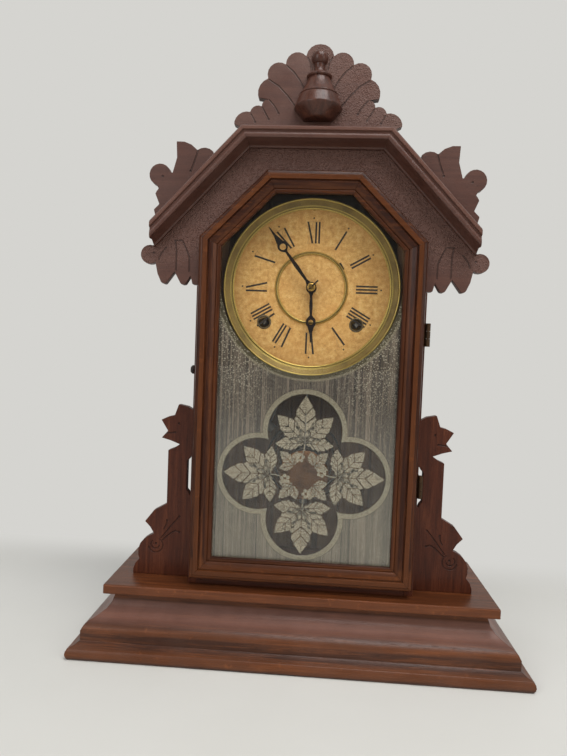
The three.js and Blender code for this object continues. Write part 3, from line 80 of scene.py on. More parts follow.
# the photograph's standpoint and picture
STANDPOINT = (10.23, -559.41, 283.88)
YAW, PITCH, ROLL = 0.0608060, 0.0453228, 0.0387555
FOCAL, PICTURE_HEIGHT = 573.132, 756


# ---------------------------------------------------------------- shader values

def number_op(operation, swapped=False):
    def apply(self, other):
        pair = (other, self) if swapped else (self, other)
        return self.paint.math(operation, *pair)
    return apply


class Value:
    """One output of a shader node, usable in sums."""

    def __init__(self, paint, socket):
        self.paint = paint
        self.socket = socket

    __add__ = __radd__ = number_op("ADD")
    __mul__ = __rmul__ = number_op("MULTIPLY")
    __sub__ = number_op("SUBTRACT")
    __rsub__ = number_op("SUBTRACT", True)
    __pow__ = number_op("POWER")
    __lt__ = number_op("LESS_THAN")

    def __abs__(self):
        return self.paint.math("ABSOLUTE", self)

    def least(self, other):
        return self.paint.math("MINIMUM", self, other)

    def most(self, other):
        return self.paint.math("MAXIMUM", self, other)

    def clamped(self):
        return self.paint.math("ADD", self, 0.0, clamp=True)

    def ramp_up(self, low, high):
        """0 below low, 1 above high, smooth between them."""
        settings = {"interpolation_type": "SMOOTHSTEP"}
        return self.paint.node("ShaderNodeMapRange", settings, {0: self, 1: low, 2: high})

    def ramp_down(self, low, high):
        return 1 - self.ramp_up(low, high)


def tone(red, green, blue):
    """A colour given as it looks on a screen, 0 to 255."""
    def linear(v):
        v /= 255
        return v / 12.92 if v <= 0.04045 else ((v + 0.055) / 1.055) ** 2.4
    return (linear(red), linear(green), linear(blue), 1.0)


class Paint:
    """A material under construction."""

    def __init__(self, name):
        self.material = bpy.data.materials.new(name)
        self.material.use_nodes = True
        self.tree = self.material.node_tree
        self.tree.nodes.clear()

    def feed(self, socket, value):
        if isinstance(value, Value):
            self.tree.links.new(value.socket, socket)
        else:
            socket.default_value = value

    def node(self, kind, settings=None, inputs=None, output=0):
        made = self.tree.nodes.new(kind)
        for key, value in (settings or {}).items():
            if key == "stops":
                self.set_stops(made.color_ramp, value)
            else:
                setattr(made, key, value)
        for key, value in (inputs or {}).items():
            self.feed(made.inputs[key], value)
        return Value(self, made.outputs[output])

    @staticmethod
    def set_stops(ramp, stops):
        while len(ramp.elements) < len(stops):
            ramp.elements.new(0.5)
        for element, (position, colour) in zip(ramp.elements, stops):
            element.position = position
            element.color = colour

    def math(self, operation, first, second=0.0, clamp=False):
        settings = {"operation": operation, "use_clamp": clamp}
        return self.node("ShaderNodeMath", settings, {0: first, 1: second})

    def vector(self, operation, first, second):
        return self.node("ShaderNodeVectorMath", {"operation": operation}, {0: first, 1: second})

    def mix(self, amount, first, second):
        return self.node("ShaderNodeMix", {"data_type": "RGBA"}, {0: amount, 6: first, 7: second}, 2)

    def ramp(self, value, *stops):
        return self.node("ShaderNodeValToRGB", {"stops": stops}, {0: value})

    def place(self):
        """Where the surface is, in millimetres."""
        point = self.node("ShaderNodeTexCoord", output="Object")
        return self.vector("MULTIPLY", point, (1000.0, 1000.0, 1000.0))

    def axes(self, point):
        split = self.node("ShaderNodeSeparateXYZ", inputs={0: point})
        return [Value(self, split.socket.node.outputs[i]) for i in range(3)]

    def joined(self, x, y, z):
        return self.node("ShaderNodeCombineXYZ", inputs={0: x, 1: y, 2: z})

    def noise(self, point, scale, detail=3.0, rough=0.5, distortion=0.0):
        inputs = {"Vector": point, "Scale": scale, "Detail": detail, "Roughness": rough}
        return self.node("ShaderNodeTexNoise", inputs={**inputs, "Distortion": distortion})

    def cells(self, point, scale):
        return self.node("ShaderNodeTexVoronoi", inputs={"Vector": point, "Scale": scale})

    def bump(self, height, depth_mm, strength=1.0):
        inputs = {"Height": height, "Distance": depth_mm * MM, "Strength": strength}
        return self.node("ShaderNodeBump", inputs=inputs)

    def surface(self, **values):
        shader = self.node("ShaderNodeBsdfPrincipled")
        for key, value in values.items():
            self.feed(shader.socket.node.inputs[key.replace("_", " ")], value)
        return shader

    def finish(self, shader):
        end = self.tree.nodes.new("ShaderNodeOutputMaterial")
        self.feed(end.inputs["Surface"], shader)
        return self.material

    def to_segment(self, x, z, start, end):
        """Distance in the x-z plane to a straight cut."""
        (ax, az), (bx, bz) = start, end
        length = math.hypot(bx - ax, bz - az)
        ux, uz = (bx - ax) / length, (bz - az) / length
        along = (x - ax) * ux + (z - az) * uz
        held = along.most(0.0).least(length)
        return self.length(x - (held * ux + ax), z - (held * uz + az))

    def length(self, x, z):
        return self.math("SQRT", x * x + z * z)

    def to_ring(self, x, z, centre, radius):
        return abs(self.length(x - centre[0], z - centre[1]) - radius)

    def nearest(self, distances):
        near = distances[0]
        for distance in distances[1:]:
            near = near.least(distance)
        return near


# ---------------------------------------------------------------- finishes

GRAIN = {"X": (0.045, 1.0, 1.0), "Y": (1.0, 0.045, 1.0), "Z": (1.0, 1.0, 0.045)}
PORES = {"X": (0.12, 1.0, 1.0), "Y": (1.0, 0.12, 1.0), "Z": (1.0, 1.0, 0.12)}


def wood(name, along, tones, rough, dust_and_sheen_haze=0.0, cuts=None, worn=None, pebbles_and_sheen=None, dust_and_sheen=None, coat=0.08,
         shine=0.3, figured=1.0):
    """Varnished walnut, with painted sheen, highlights and shade in its colour. The cut, wear, pebble and
    dust masks take the paint and x, y, z, and give 0 to 1.
    """
    deep, body, light = tones
    paint = Paint(name)
    at = paint.place()
    x, y, z = paint.axes(at)
    run = paint.vector("MULTIPLY", at, GRAIN[along])
    sway = paint.noise(at, 0.011, 2.0)
    drift = paint.node("ShaderNodeTexNoise", inputs={"Vector": run, "Scale": 0.03, "Detail": 2.0}, output=1)
    bent = paint.vector("ADD", run, paint.vector("MULTIPLY", drift, (14.0, 14.0, 14.0)))
    rings = paint.noise(bent, 0.24, 5.0, 0.6, 0.5)
    streak = paint.noise(run, 1.0, 4.0, 0.6)
    short = paint.vector("MULTIPLY", at, PORES[along])
    pore = paint.noise(short, 2.0, 2.0, 0.5).ramp_up(0.58, 0.72)
    figure = 0.505 + (rings * 0.55 + streak * 0.3 + sway * 0.16 - 0.505) * figured
    colour = paint.ramp(figure, (0.3, deep), (0.5, body), (0.72, light))
    colour = paint.mix(pore * 0.55, colour, deep)
    patches = paint.noise(at, 0.035, 4.0, 0.6)
    reddened = paint.mix(0.2, body, tone(92, 42, 20))
    colour = paint.mix(patches.ramp_up(0.45, 0.7) * 0.4, colour, reddened)
    scuffs = paint.noise(at, 0.12, 6.0, 0.7).ramp_up(0.58, 0.74)
    gloss = rough + (patches - 0.5) * 0.22 + pore * 0.16 + scuffs * 0.1
    height = figure * 0.2 - pore * 0.5 + paint.noise(at, 0.4, 4.0) * 0.2
    # pebbled bumps, darker between the pimples, and painted sheen: the area painted lighter towards pale
    # grey-pink, with painted glints
    if pebbles_and_sheen is not None:
        amount = pebbles_and_sheen(paint, x, y, z)
        pimple = paint.cells(at, 0.62).ramp_down(0.1, 0.62)
        height = height + pimple * amount * 4.0
        colour = paint.mix((1 - pimple) * amount * 0.3, colour, deep)
        glints = paint.cells(at, 0.9).ramp_down(0.1, 0.3) * paint.noise(at, 0.12, 3.0).ramp_up(0.45, 0.65)
        colour = paint.mix(amount * (0.18 + glints * 0.6), colour, tone(146, 112, 100))
        gloss = gloss + amount * 0.06
    # rubbed wear and painted highlight: the masks lighten crowns, edges and faces towards the light tone
    if worn is not None:
        amount = (worn(paint, x, y, z) * (0.35 + scuffs * 0.9 + patches * 0.35)).clamped()
        colour = paint.mix(amount * 0.75, colour, light)
    # the cuts are bumps, and are painted near black: painted shade in the grooves and pricked dots
    if cuts is not None:
        groove = cuts(paint, x, y, z)
        height = height - groove * 5.0
        colour = paint.mix(groove * 0.7, colour, tone(22, 12, 9))
    # painted sheen with dust: pale grey-pink blotches that stand in for the room's reflection in the varnish
    if dust_and_sheen_haze:
        dust = paint.noise(at, 0.02, 5.0, 0.6).ramp_up(0.3, 0.75)
        dust = dust * (0.7 + paint.noise(at, 1.1, 3.0, 0.6).ramp_up(0.45, 0.7) * 0.6)
        colour = paint.mix((dust * dust_and_sheen_haze).clamped(), colour, tone(132, 108, 98))
    # settled dust and painted sheen: a pale grey-pink film laid over the colour
    if dust_and_sheen is not None:
        film = dust_and_sheen(paint, x, y, z) * (0.55 + paint.noise(at, 0.05, 5.0, 0.6) * 0.7)
        colour = paint.mix((film * 0.6).clamped(), colour, tone(130, 92, 80))
    bump = paint.bump(height, 0.16)
    return paint.finish(paint.surface(Base_Color=colour, Roughness=gloss.clamped(), Normal=bump,
                                      Specular_IOR_Level=shine, Coat_Weight=coat, Coat_Roughness=0.2))


def softwood(name, along):
    """Old unfinished board, stained in patches."""
    paint = Paint(name)
    at = paint.place()
    run = paint.vector("MULTIPLY", at, GRAIN[along])
    bands = paint.noise(run, 0.12, 4.0, 0.55, 1.1)
    fine = paint.noise(run, 1.4, 3.0)
    colour = paint.ramp(bands, (0.3, tone(74, 50, 32)), (0.5, tone(104, 74, 48)), (0.68, tone(128, 96, 64)))
    stains = paint.noise(at, 0.018, 5.0, 0.65).ramp_up(0.5, 0.74)
    colour = paint.mix(stains * 0.5, colour, tone(58, 40, 28))
    colour = paint.mix(fine.ramp_up(0.55, 0.75) * 0.35, colour, tone(66, 46, 30))
    bump = paint.bump(bands * 0.5 + fine * 0.4, 0.25)
    return paint.finish(paint.surface(Base_Color=colour, Roughness=0.72 + fine * 0.16, Normal=bump))


def metal(name, clean, tarnish, rough, amount, metallic=1.0, brushed=None):
    """Old metal: tarnish in patches, fine scratches and small pits."""
    paint = Paint(name)
    at = paint.place()
    patches = paint.noise(at, 0.07, 6.0, 0.65)
    specks = paint.noise(at, 0.9, 3.0, 0.6).ramp_up(0.6, 0.7)
    stretch = {None: (1.0, 1.0, 1.0), "Y": (1.0, 0.04, 1.0), "Z": (1.0, 1.0, 0.04)}[brushed]
    scratches = paint.noise(paint.vector("MULTIPLY", at, stretch), 2.2, 4.0, 0.6)
    dulled = (patches.ramp_up(0.42, 0.72) * amount + specks * amount * 0.5).clamped()
    colour = paint.mix(dulled, clean, tarnish)
    colour = paint.mix(scratches.ramp_up(0.55, 0.8) * 0.2, colour, tarnish)
    gloss = rough + dulled * 0.25 + (scratches - 0.5) * 0.12
    bump = paint.bump(scratches * 0.4 - specks * 0.6, 0.04)
    return paint.finish(paint.surface(Base_Color=colour, Roughness=gloss.clamped(), Metallic=metallic,
                                      Normal=bump))


def dial_paper():
    """Buff paper, mottled and foxed, with one small slit painted dark: painted shade in the slot."""
    paint = Paint("mottled dial paper")
    at = paint.place()
    x, _, z = paint.axes(at)
    away = paint.length(x, z - DIAL_Z)
    mottle = paint.noise(at, 0.2, 6.0, 0.72)
    blotch = paint.noise(at, 0.028, 4.0, 0.6)
    fibre = paint.noise(at, 1.3, 4.0, 0.6)
    colour = paint.ramp(mottle, (0.34, tone(184, 132, 66)), (0.5, tone(214, 166, 94)),
                        (0.66, tone(230, 190, 122)))
    colour = paint.mix(blotch.ramp_up(0.42, 0.66) * 0.35, colour, tone(206, 148, 76))
    foxing = paint.noise(at, 0.5, 3.0, 0.6).ramp_up(0.6, 0.7)
    colour = paint.mix(foxing * 0.55, colour, tone(150, 100, 48))
    rim = away.ramp_up(66.0, 77.0)
    colour = paint.mix(rim * 0.35, colour, tone(168, 120, 60))
    smudge = away.ramp_down(4.0, 26.0) * blotch.ramp_up(0.35, 0.6)
    colour = paint.mix(smudge * 0.3, colour, tone(170, 124, 70))
    # the slit is painted near black: painted shade in the slot
    slit = paint.to_segment(x, z, (26.6, 369.4), (29.4, 364.6)).ramp_down(0.7, 1.2)
    colour = paint.mix(slit, colour, tone(30, 24, 14))
    bump = paint.bump(fibre * 0.6 + mottle - slit * 6.0, 0.05)
    return paint.finish(paint.surface(Base_Color=colour, Roughness=0.62 + fibre * 0.2, Normal=bump))


def rolled_gilt(name, centre_z, bright):
    """Olive gilt brass with painted highlights: painted bright along the rolls whose inner and outer radii
    are given.
    """
    paint = Paint(name)
    at = paint.place()
    x, _, z = paint.axes(at)
    away = paint.length(x, z - centre_z)
    patches = paint.noise(at, 0.05, 5.0, 0.6)
    spun = paint.noise(paint.joined(away, 0.0, 0.0), 3.0, 3.0, 0.6)
    specks = paint.noise(at, 0.8, 3.0, 0.6).ramp_up(0.6, 0.7)
    # painted highlights: the rolls are painted bright gold by their radius
    rubbed = None
    for low, high in bright:
        roll = away.ramp_up(low - 0.25, low + 0.15) * away.ramp_down(high - 0.15, high + 0.25)
        rubbed = roll if rubbed is None else rubbed.most(roll)
    colour = paint.mix(patches.ramp_up(0.4, 0.68), tone(130, 108, 52), tone(100, 82, 38))
    colour = paint.mix(specks * 0.4, colour, tone(82, 66, 32))
    colour = paint.mix(rubbed * 0.9, colour, tone(204, 180, 100))
    gloss = 0.44 - rubbed * 0.16 + (spun - 0.5) * 0.12 + specks * 0.1
    bump = paint.bump(spun * 0.5 - specks * 0.5, 0.015)
    return paint.finish(paint.surface(Base_Color=colour, Roughness=gloss.clamped(), Normal=bump,
                                      Metallic=0.5 + rubbed * 0.25))


def printed(name, ink, bare, wear):
    """Ink that has rubbed off the dial in flecks."""
    paint = Paint(name)
    at = paint.place()
    flecks = paint.noise(at, 0.9, 5.0, 0.7)
    thin = paint.noise(at, 0.06, 3.0)
    lost = (flecks + (thin - 0.5) * 0.5).ramp_up(1 - wear - 0.08, 1 - wear + 0.08)
    colour = paint.mix(lost, ink, bare)
    return paint.finish(paint.surface(Base_Color=colour, Roughness=0.6 + flecks * 0.15,
                                      Normal=paint.bump(flecks, 0.02)))


def window_glass():
    """Thin old glass: clear, with a sheen, faint ripples and dust along its edges."""
    paint = Paint("old window glass")
    at = paint.place()
    ripple = paint.noise(at, 0.02, 2.0)
    dust = paint.noise(at, 0.5, 6.0, 0.7).ramp_up(0.55, 0.8)
    facing = paint.node("ShaderNodeLayerWeight", inputs={"Blend": 0.5}, output=1)
    sheen = 0.04 + facing ** 5.0 * 0.9
    bump = paint.bump(ripple, 0.5, 0.35)
    clear = paint.node("ShaderNodeBsdfTransparent", inputs={"Color": (0.98, 0.978, 0.968, 1.0)})
    pane = paint.surface(Base_Color=paint.mix(dust, tone(244, 246, 244), tone(176, 170, 158)),
                         Metallic=1 - dust, Roughness=0.04 + dust * 0.3, Normal=bump)
    amount = (sheen + dust * 0.035).clamped()
    both = paint.node("ShaderNodeMixShader", inputs={0: amount, 1: clear, 2: pane})
    return paint.finish(both)


# the tablet: the arch's radii are the film's edge and the pale line's two edges
MIDDLE_Z = 171.0
QUATREFOIL = [((0.0, MIDDLE_Z + 41.0), 39.0), ((-42.0, MIDDLE_Z), 38.0), ((42.0, MIDDLE_Z), 38.0),
              ((0.0, MIDDLE_Z - 41.0), 38.0)]
OPEN_MIDDLE = ((0.0, MIDDLE_Z), 24.0)
ARCH_FILM, ARCH_INNER, ARCH_OUTER = 82.2, 85.8, 87.7
FILM_HALF_WIDTH, FILM_FOOT = 84.5, 88.8
FILM_Y, LEAF_Y, BLOSSOM_Y = GLASS_BACK + 0.06, GLASS_BACK + 0.03, GLASS_BACK + 0.02


def tablet_ground():
    """Streaked grey-brown ground with a stippled quatrefoil border, open inside it."""
    paint = Paint("streaked tablet ground")
    at = paint.place()
    x, _, z = paint.axes(at)
    broad = paint.noise(paint.vector("MULTIPLY", at, (1.0, 1.0, 0.012)), 0.33, 5.0, 0.66)
    fine = paint.noise(paint.vector("MULTIPLY", at, (1.0, 1.0, 0.02)), 1.3, 4.0, 0.7)
    joints = paint.noise(paint.vector("MULTIPLY", at, (1.0, 1.0, 0.0015)), 0.05, 1.0)
    cloud = paint.noise(at, 0.03, 5.0, 0.65)
    streaks = broad * 0.5 + fine * 0.5
    colour = paint.ramp(streaks, (0.42, tone(44, 37, 31)), (0.5, tone(76, 66, 55)),
                        (0.58, tone(124, 111, 96)))
    low = z.ramp_down(100.0, 250.0)
    colour = paint.mix(low * 0.45, colour, tone(128, 122, 106))
    colour = paint.mix(cloud.ramp_up(0.5, 0.8) * 0.35, colour, tone(62, 56, 46))
    line = abs(joints - 0.5).ramp_down(0.002, 0.009)
    colour = paint.mix(line * 0.75, colour, tone(34, 30, 24))
    stipple = paint.noise(at, 1.5, 4.0, 0.7)
    rounds = QUATREFOIL + [OPEN_MIDDLE]
    edge = paint.nearest([paint.length(x - cx, z - cz) - radius for (cx, cz), radius in rounds])
    ragged = edge + (stipple - 0.5) * 0.9
    border = ragged.ramp_up(-5.2, -4.6) * ragged.ramp_down(-0.4, 0.2)
    from_dial = paint.length(x, z - DIAL_Z)
    frayed = from_dial + (stipple - 0.5) * 0.6
    past_inner = frayed.ramp_up(ARCH_INNER - 0.3, ARCH_INNER + 0.3)
    arch = past_inner * frayed.ramp_down(ARCH_OUTER - 0.3, ARCH_OUTER + 0.3)
    colour = paint.mix(1 - past_inner, colour, tone(66, 58, 32))
    cream = paint.mix(stipple.ramp_up(0.35, 0.65), tone(96, 88, 68), tone(156, 148, 124))
    corners = from_dial.ramp_down(90.0, 150.0) * abs(x).ramp_up(20.0, 66.0)
    sheet = paint.vector("MULTIPLY", at, (1.0, 0.0, 1.0))
    grit = paint.cells(paint.vector("ADD", sheet, (0.0, 0.31, 0.0)), 0.6).ramp_down(0.26, 0.4)
    clumps = paint.noise(at, 0.2, 3.0, 0.6).ramp_up(0.42, 0.6)
    specks = grit * (corners * 1.2 + clumps * 0.35).clamped()
    marks = (border * (0.75 + cloud * 0.3)).most(arch * 0.7)
    colour = paint.mix(marks, colour, cream)
    colour = paint.mix(specks * 0.65, colour, tone(182, 175, 154))
    outline = abs(ragged + 4.9).ramp_down(0.15, 0.5).most(abs(ragged - 0.2).ramp_down(0.1, 0.45))
    colour = paint.mix(outline * 0.55, colour, tone(40, 35, 28))
    outside = ragged.ramp_up(-5.2, -4.6)
    holes = stipple.ramp_up(0.66, 0.7) * (border + 0.12)
    cover = (outside * (1 - holes * 0.8) * (0.93 + streaks * 0.06)).clamped()
    return paint.finish(paint.surface(Base_Color=colour, Roughness=0.42 + stipple * 0.2, Alpha=cover,
                                      Normal=paint.bump(streaks, 0.03)))


def stencil_cream(name, wear):
    """Cream rubbed on through a stencil; wear is how much of it has flaked."""
    paint = Paint(name)
    at = paint.place()
    sheet = paint.vector("MULTIPLY", at, (1.0, 0.0, 1.0))
    stipple = paint.noise(at, 1.6, 5.0, 0.72)
    fade = paint.noise(at, 0.06, 3.0)
    flakes = paint.cells(paint.vector("ADD", sheet, (0.0, 0.27, 0.0)), 0.85).ramp_down(0.2, 0.42)
    colour = paint.ramp(stipple, (0.4, tone(64, 56, 43)), (0.5, tone(132, 121, 98)),
                        (0.6, tone(190, 180, 156)))
    colour = paint.mix((flakes * wear).clamped(), colour, tone(58, 50, 38))
    lost = (stipple + (fade - 0.5) * 0.6).ramp_up(0.66, 0.76)
    cover = (1 - lost * 0.6 - flakes * wear * 0.4).clamped()
    return paint.finish(paint.surface(Base_Color=colour, Roughness=0.55 + stipple * 0.1, Alpha=cover,
                                      Normal=paint.bump(stipple, 0.02)))


# carving on the right half, as runs of points (across, up) of knife cuts, and the middles of pricked dots
CREST_CUTS = [[(29.5, 540.5), (22.9, 534.9), (17.1, 527.3), (13.1, 520.2)],
              [(44.9, 528.0), (36.0, 522.4), (27.7, 513.8), (21.1, 505.5)],
              [(10.9, 547.6), (8.2, 543.0), (7.2, 537.5)], [(44.3, 510.2), (39.4, 504.9), (35.6, 498.5)],
              [(50.2, 503.4), (46.8, 497.4), (44.3, 493.1)], [(60.2, 497.2), (58.0, 493.6), (56.5, 490.5)]]
CREST_DOTS = [(35.6, 498.5), (44.3, 493.1), (56.5, 490.5)]
EAR_CUTS = [[(108.0, 464.0), (110.5, 455.5), (113.4, 447.5)]]
DROP_CUTS = [[(126.0, 382.6), (119.6, 382.6), (115.8, 374.8), (112.8, 367.6), (112.6, 354.8)],
             [(126.4, 382.4), (125.0, 373.7), (124.9, 355.3)],
             [(134.4, 376.3), (139.2, 370.4), (141.3, 364.9)]]
EAR_DOTS = [(114.1, 445.7), (139.8, 440.6), (146.1, 370.8), (126.4, 382.4)]
BRACKET_CUTS = [[(118.0, 121.3), (126.4, 111.2), (135.0, 99.6)],
                [(117.6, 106.1), (121.4, 107.3), (125.5, 105.2), (130.3, 100.8), (134.5, 96.9)],
                [(130.0, 117.0), (130.6, 112.6), (132.5, 108.7)], [(124.6, 202.8), (134.7, 201.6)]]
BRACKET_DOTS = [(118.0, 121.3), (117.6, 106.1), (130.0, 117.0), (121.0, 211.6), (124.6, 202.8),
                (140.1, 93.8)]
# scrolls: centre, radius, and the direction and distance from which each is cut
BRACKET_RINGS = [((140.4, 92.2), 7.0, (-0.6, -0.8), -3.0), ((140.8, 93.2), 4.2, (0.5, -0.85), -1.5)]


def cuts_from(runs, dots, rings=()):
    """Knife cuts along runs of points, pricked dots and parts of rings, alike on both sides."""
    def cuts(paint, x, y, z):
        side = abs(x)
        lines = [pair for points in runs for pair in zip(points, points[1:])]
        near = paint.nearest([paint.to_segment(side, z, a, b) for a, b in lines])
        pricks = paint.nearest([paint.length(side - dx, z - dz) for dx, dz in dots])
        groove = (near.ramp_down(0.25, 0.95) * 0.8).most(pricks.ramp_down(0.5, 1.3))
        for centre, radius, (ux, uz), start in rings:
            ring = paint.to_ring(side, z, centre, radius).ramp_down(0.2, 0.75)
            reach = (side - centre[0]) * ux + (z - centre[1]) * uz
            groove = groove.most(ring * 0.7 * reach.ramp_up(start - 0.3, start + 0.3))
        front = (BRACKET_FRONT if rings else WOOD_FRONT) + 0.4
        return groove * (y < front)
    return cuts


def head_pebbles_and_sheen(paint, x, y, z):
    """The panel between the door and the head moulding: pebbled, and painted lighter there with painted
    sheen and glints.
    """
    side = abs(x)
    slope = (z - HEAD_TOP) + (side - HEAD_FLAT).most(0.0) * HEAD_FALL
    inside = slope.ramp_down(-14.0, -12.0) * side.ramp_down(96.0, 99.0)
    lower = (z - 372.0 + (side - 84.0).most(0.0) * 0.2).ramp_up(-14.0, 14.0)
    return inside.most(slope.ramp_down(-14.0, -12.0) * lower) * (y < WOOD_FRONT + 0.4)


def crest_pebbles_and_sheen(paint, x, y, z):
    """The crest's face is rougher on the right, and painted lighter and greyer there with painted sheen and
    glints.
    """
    return x.ramp_up(-30.0, 30.0) * 0.7 * (y < WOOD_FRONT + 0.4)


def base_wear_and_highlight(paint, x, y, z):
    """The lip, shoulder and rim of the base moulding, rubbed by hands and dusters, and painted lighter as
    painted highlights on these crowns.
    """
    lip = z.ramp_up(1.0, 4.0) * z.ramp_down(10.0, 12.0)
    shoulder = z.ramp_up(21.0, 23.5) * z.ramp_down(26.0, 30.0)
    rim = z.ramp_up(45.5, 47.0) * z.ramp_down(48.0, 51.0)
    return (lip * 0.9).most(shoulder * 0.8).most(rim)


def base_dust_and_sheen(paint, x, y, z):
    """The ogee's hollow, where dust has settled in the varnish, with a painted sheen in the same pale film.
    """
    return z.ramp_up(27.0, 34.0) * z.ramp_down(43.0, 46.5)


def board_wear_and_highlight(paint, x, y, z):
    """The board's front edge, and its top more lightly: rubbed wear and painted highlight."""
    front = y.ramp_down(-50.5, -46.0)
    return front.most(z.ramp_up(BOARD_TOP - 0.6, BOARD_TOP) * 0.5)


def door_wear_and_highlight(paint, x, y, z):
    """The door moulding's flat band, and less of its inner run and bead, made a warmer brown: rubbed wear
    and painted highlight where these faces catch the light.
    """
    band = y.ramp_down(-45.9, -45.6)
    run = y.ramp_down(-42.0, -41.4) * y.ramp_up(-43.9, -43.4)
    low = z.ramp_down(DOOR_RAIL_TOP - 3.8, DOOR_RAIL_TOP + 2.2) * y.ramp_down(-44.0, -43.0)
    return (band * 1.1).most(run * 0.6).most(low * 0.9)


def moulding_wear_and_highlight(paint, x, y, z):
    """The head moulding's foremost bead, worn and with a painted highlight."""
    return y.ramp_down(-53.9, -53.0)


# ---------------------------------------------------------------- making pieces

def shaded(mesh, angle=38.0):
    """Smooth faces with the sharp edges kept."""
    work = bmesh.new()
    work.from_mesh(mesh)
    for edge in work.edges:
        turned = edge.calc_face_angle(0.0) if edge.is_manifold else math.pi
        edge.smooth = turned < math.radians(angle)
    for face in work.faces:
        face.smooth = True
    work.to_mesh(mesh)
    work.free()


def new_piece(name, mesh, body, finish):
    piece = bpy.data.objects.new(name, mesh)
    bpy.context.scene.collection.objects.link(piece)
    mesh.materials.clear()
    mesh.materials.append(finish)
    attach(piece, body)
    return piece


def from_faces(name, points, faces, body, finish, slot=None, angle=38.0):
    """A piece from points in millimetres."""
    mesh = bpy.data.meshes.new(name)
    mesh.from_pydata([tuple(v * MM for v in p) for p in points], [], faces)
    mesh.validate()
    work = bmesh.new()
    work.from_mesh(mesh)
    bmesh.ops.recalc_face_normals(work, faces=work.faces)
    work.to_mesh(mesh)
    work.free()
    shaded(mesh, angle)
    return new_piece(name, mesh, body, finish)


def eased(node, finish, bevel_mm, segments=2, threshold=30.0):
    """Stands for a CAD node, with its sharp edges eased."""
    source = frame["nodes"][node]
    mesh = source.data.copy()
    mesh.name = f"{node}_eased"
    work = bmesh.new()
    work.from_mesh(mesh)
    bmesh.ops.remove_doubles(work, verts=work.verts, dist=0.00002)
    bmesh.ops.dissolve_limit(work, angle_limit=math.radians(1.0), verts=work.verts, edges=work.edges)
    sharp = [e for e in work.edges if e.is_manifold and e.calc_face_angle(0.0) > math.radians(threshold)]
    bmesh.ops.bevel(work, geom=sharp, offset=bevel_mm * MM, segments=segments, profile=0.5,
                    affect="EDGES", clamp_overlap=True)
    work.to_mesh(mesh)
    work.free()
    shaded(mesh, 42.0)
    piece = new_piece(f"{node}_eased", mesh, source["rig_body"], finish)
    soften = piece.modifiers.new("even shading", "WEIGHTED_NORMAL")
    soften.keep_sharp = True
    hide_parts(node)
    return piece


def repaint(finish, *nodes):
    for node in nodes:
        item = frame["nodes"][node]
        item.data.materials.clear()
        item.data.materials.append(finish)


def turned(profile, segments, x, z):
    """Points and faces of a turning about a line along Y; profile is [radius, y]."""
    points, faces = [], []
    for i in range(segments):
        angle = 2 * math.pi * i / segments
        points += [(x + r * math.cos(angle), y, z + r * math.sin(angle)) for r, y in profile]
    count = len(profile)
    for i in range(segments):
        a, b = i * count, ((i + 1) % segments) * count
        faces += [(a + k, a + k + 1, b + k + 1, b + k) for k in range(count - 1)]
    return points, faces


# ---------------------------------------------------------------- camera, floor and light

def camera():
    """The photograph's standpoint."""
    level = math.cos(PITCH)
    ahead = Vector((-math.sin(YAW) * level, math.cos(YAW) * level, -math.sin(PITCH)))
    data = bpy.data.cameras.new("photograph")
    data.sensor_fit = "VERTICAL"
    data.sensor_height = 36.0
    data.sensor_width = 36.0
    data.lens = FOCAL / PICTURE_HEIGHT * 36.0
    seat = bpy.data.objects.new("photograph", data)
    bpy.context.scene.collection.objects.link(seat)
    seat.rotation_mode = "QUATERNION"
    seat.rotation_quaternion = ahead.to_track_quat("-Z", "Y") @ Quaternion((0, 0, 1), ROLL)
    seat.location = Vector(STANDPOINT) * MM
    data.clip_start = 0.02
    bpy.context.scene.camera = seat


BACKDROP = tone(213, 212, 208)


def floor():
    """A pale floor that fades into the backdrop's colour behind the clock and far from it."""
    paint = Paint("pale floor")
    at = paint.place()
    x, y, _ = paint.axes(at)
    cloth = paint.noise(at, 0.006, 4.0)
    colour = paint.mix(cloth, tone(202, 200, 193), tone(211, 209, 203))
    near = paint.surface(Base_Color=colour, Roughness=0.85, Normal=paint.bump(cloth, 1.2))
    far = paint.node("ShaderNodeEmission", inputs={"Color": BACKDROP, "Strength": 1.0})
    seen = paint.node("ShaderNodeLightPath")
    fade = y.ramp_up(150.0, 260.0).most(paint.length(x, y).ramp_up(900.0, 1500.0) * seen)
    material = paint.finish(paint.node("ShaderNodeMixShader", inputs={0: fade, 1: near, 2: far}))
    mesh = bpy.data.meshes.new("floor")
    reach = 9.0
    corners = [(-reach, -reach, 0), (reach, -reach, 0), (reach, reach, 0), (-reach, reach, 0)]
    mesh.from_pydata(corners, [], [(0, 1, 2, 3)])
    mesh.materials.append(material)
    plane = bpy.data.objects.new("floor", mesh)
    bpy.context.scene.collection.objects.link(plane)
    plane.location.z = -0.0002


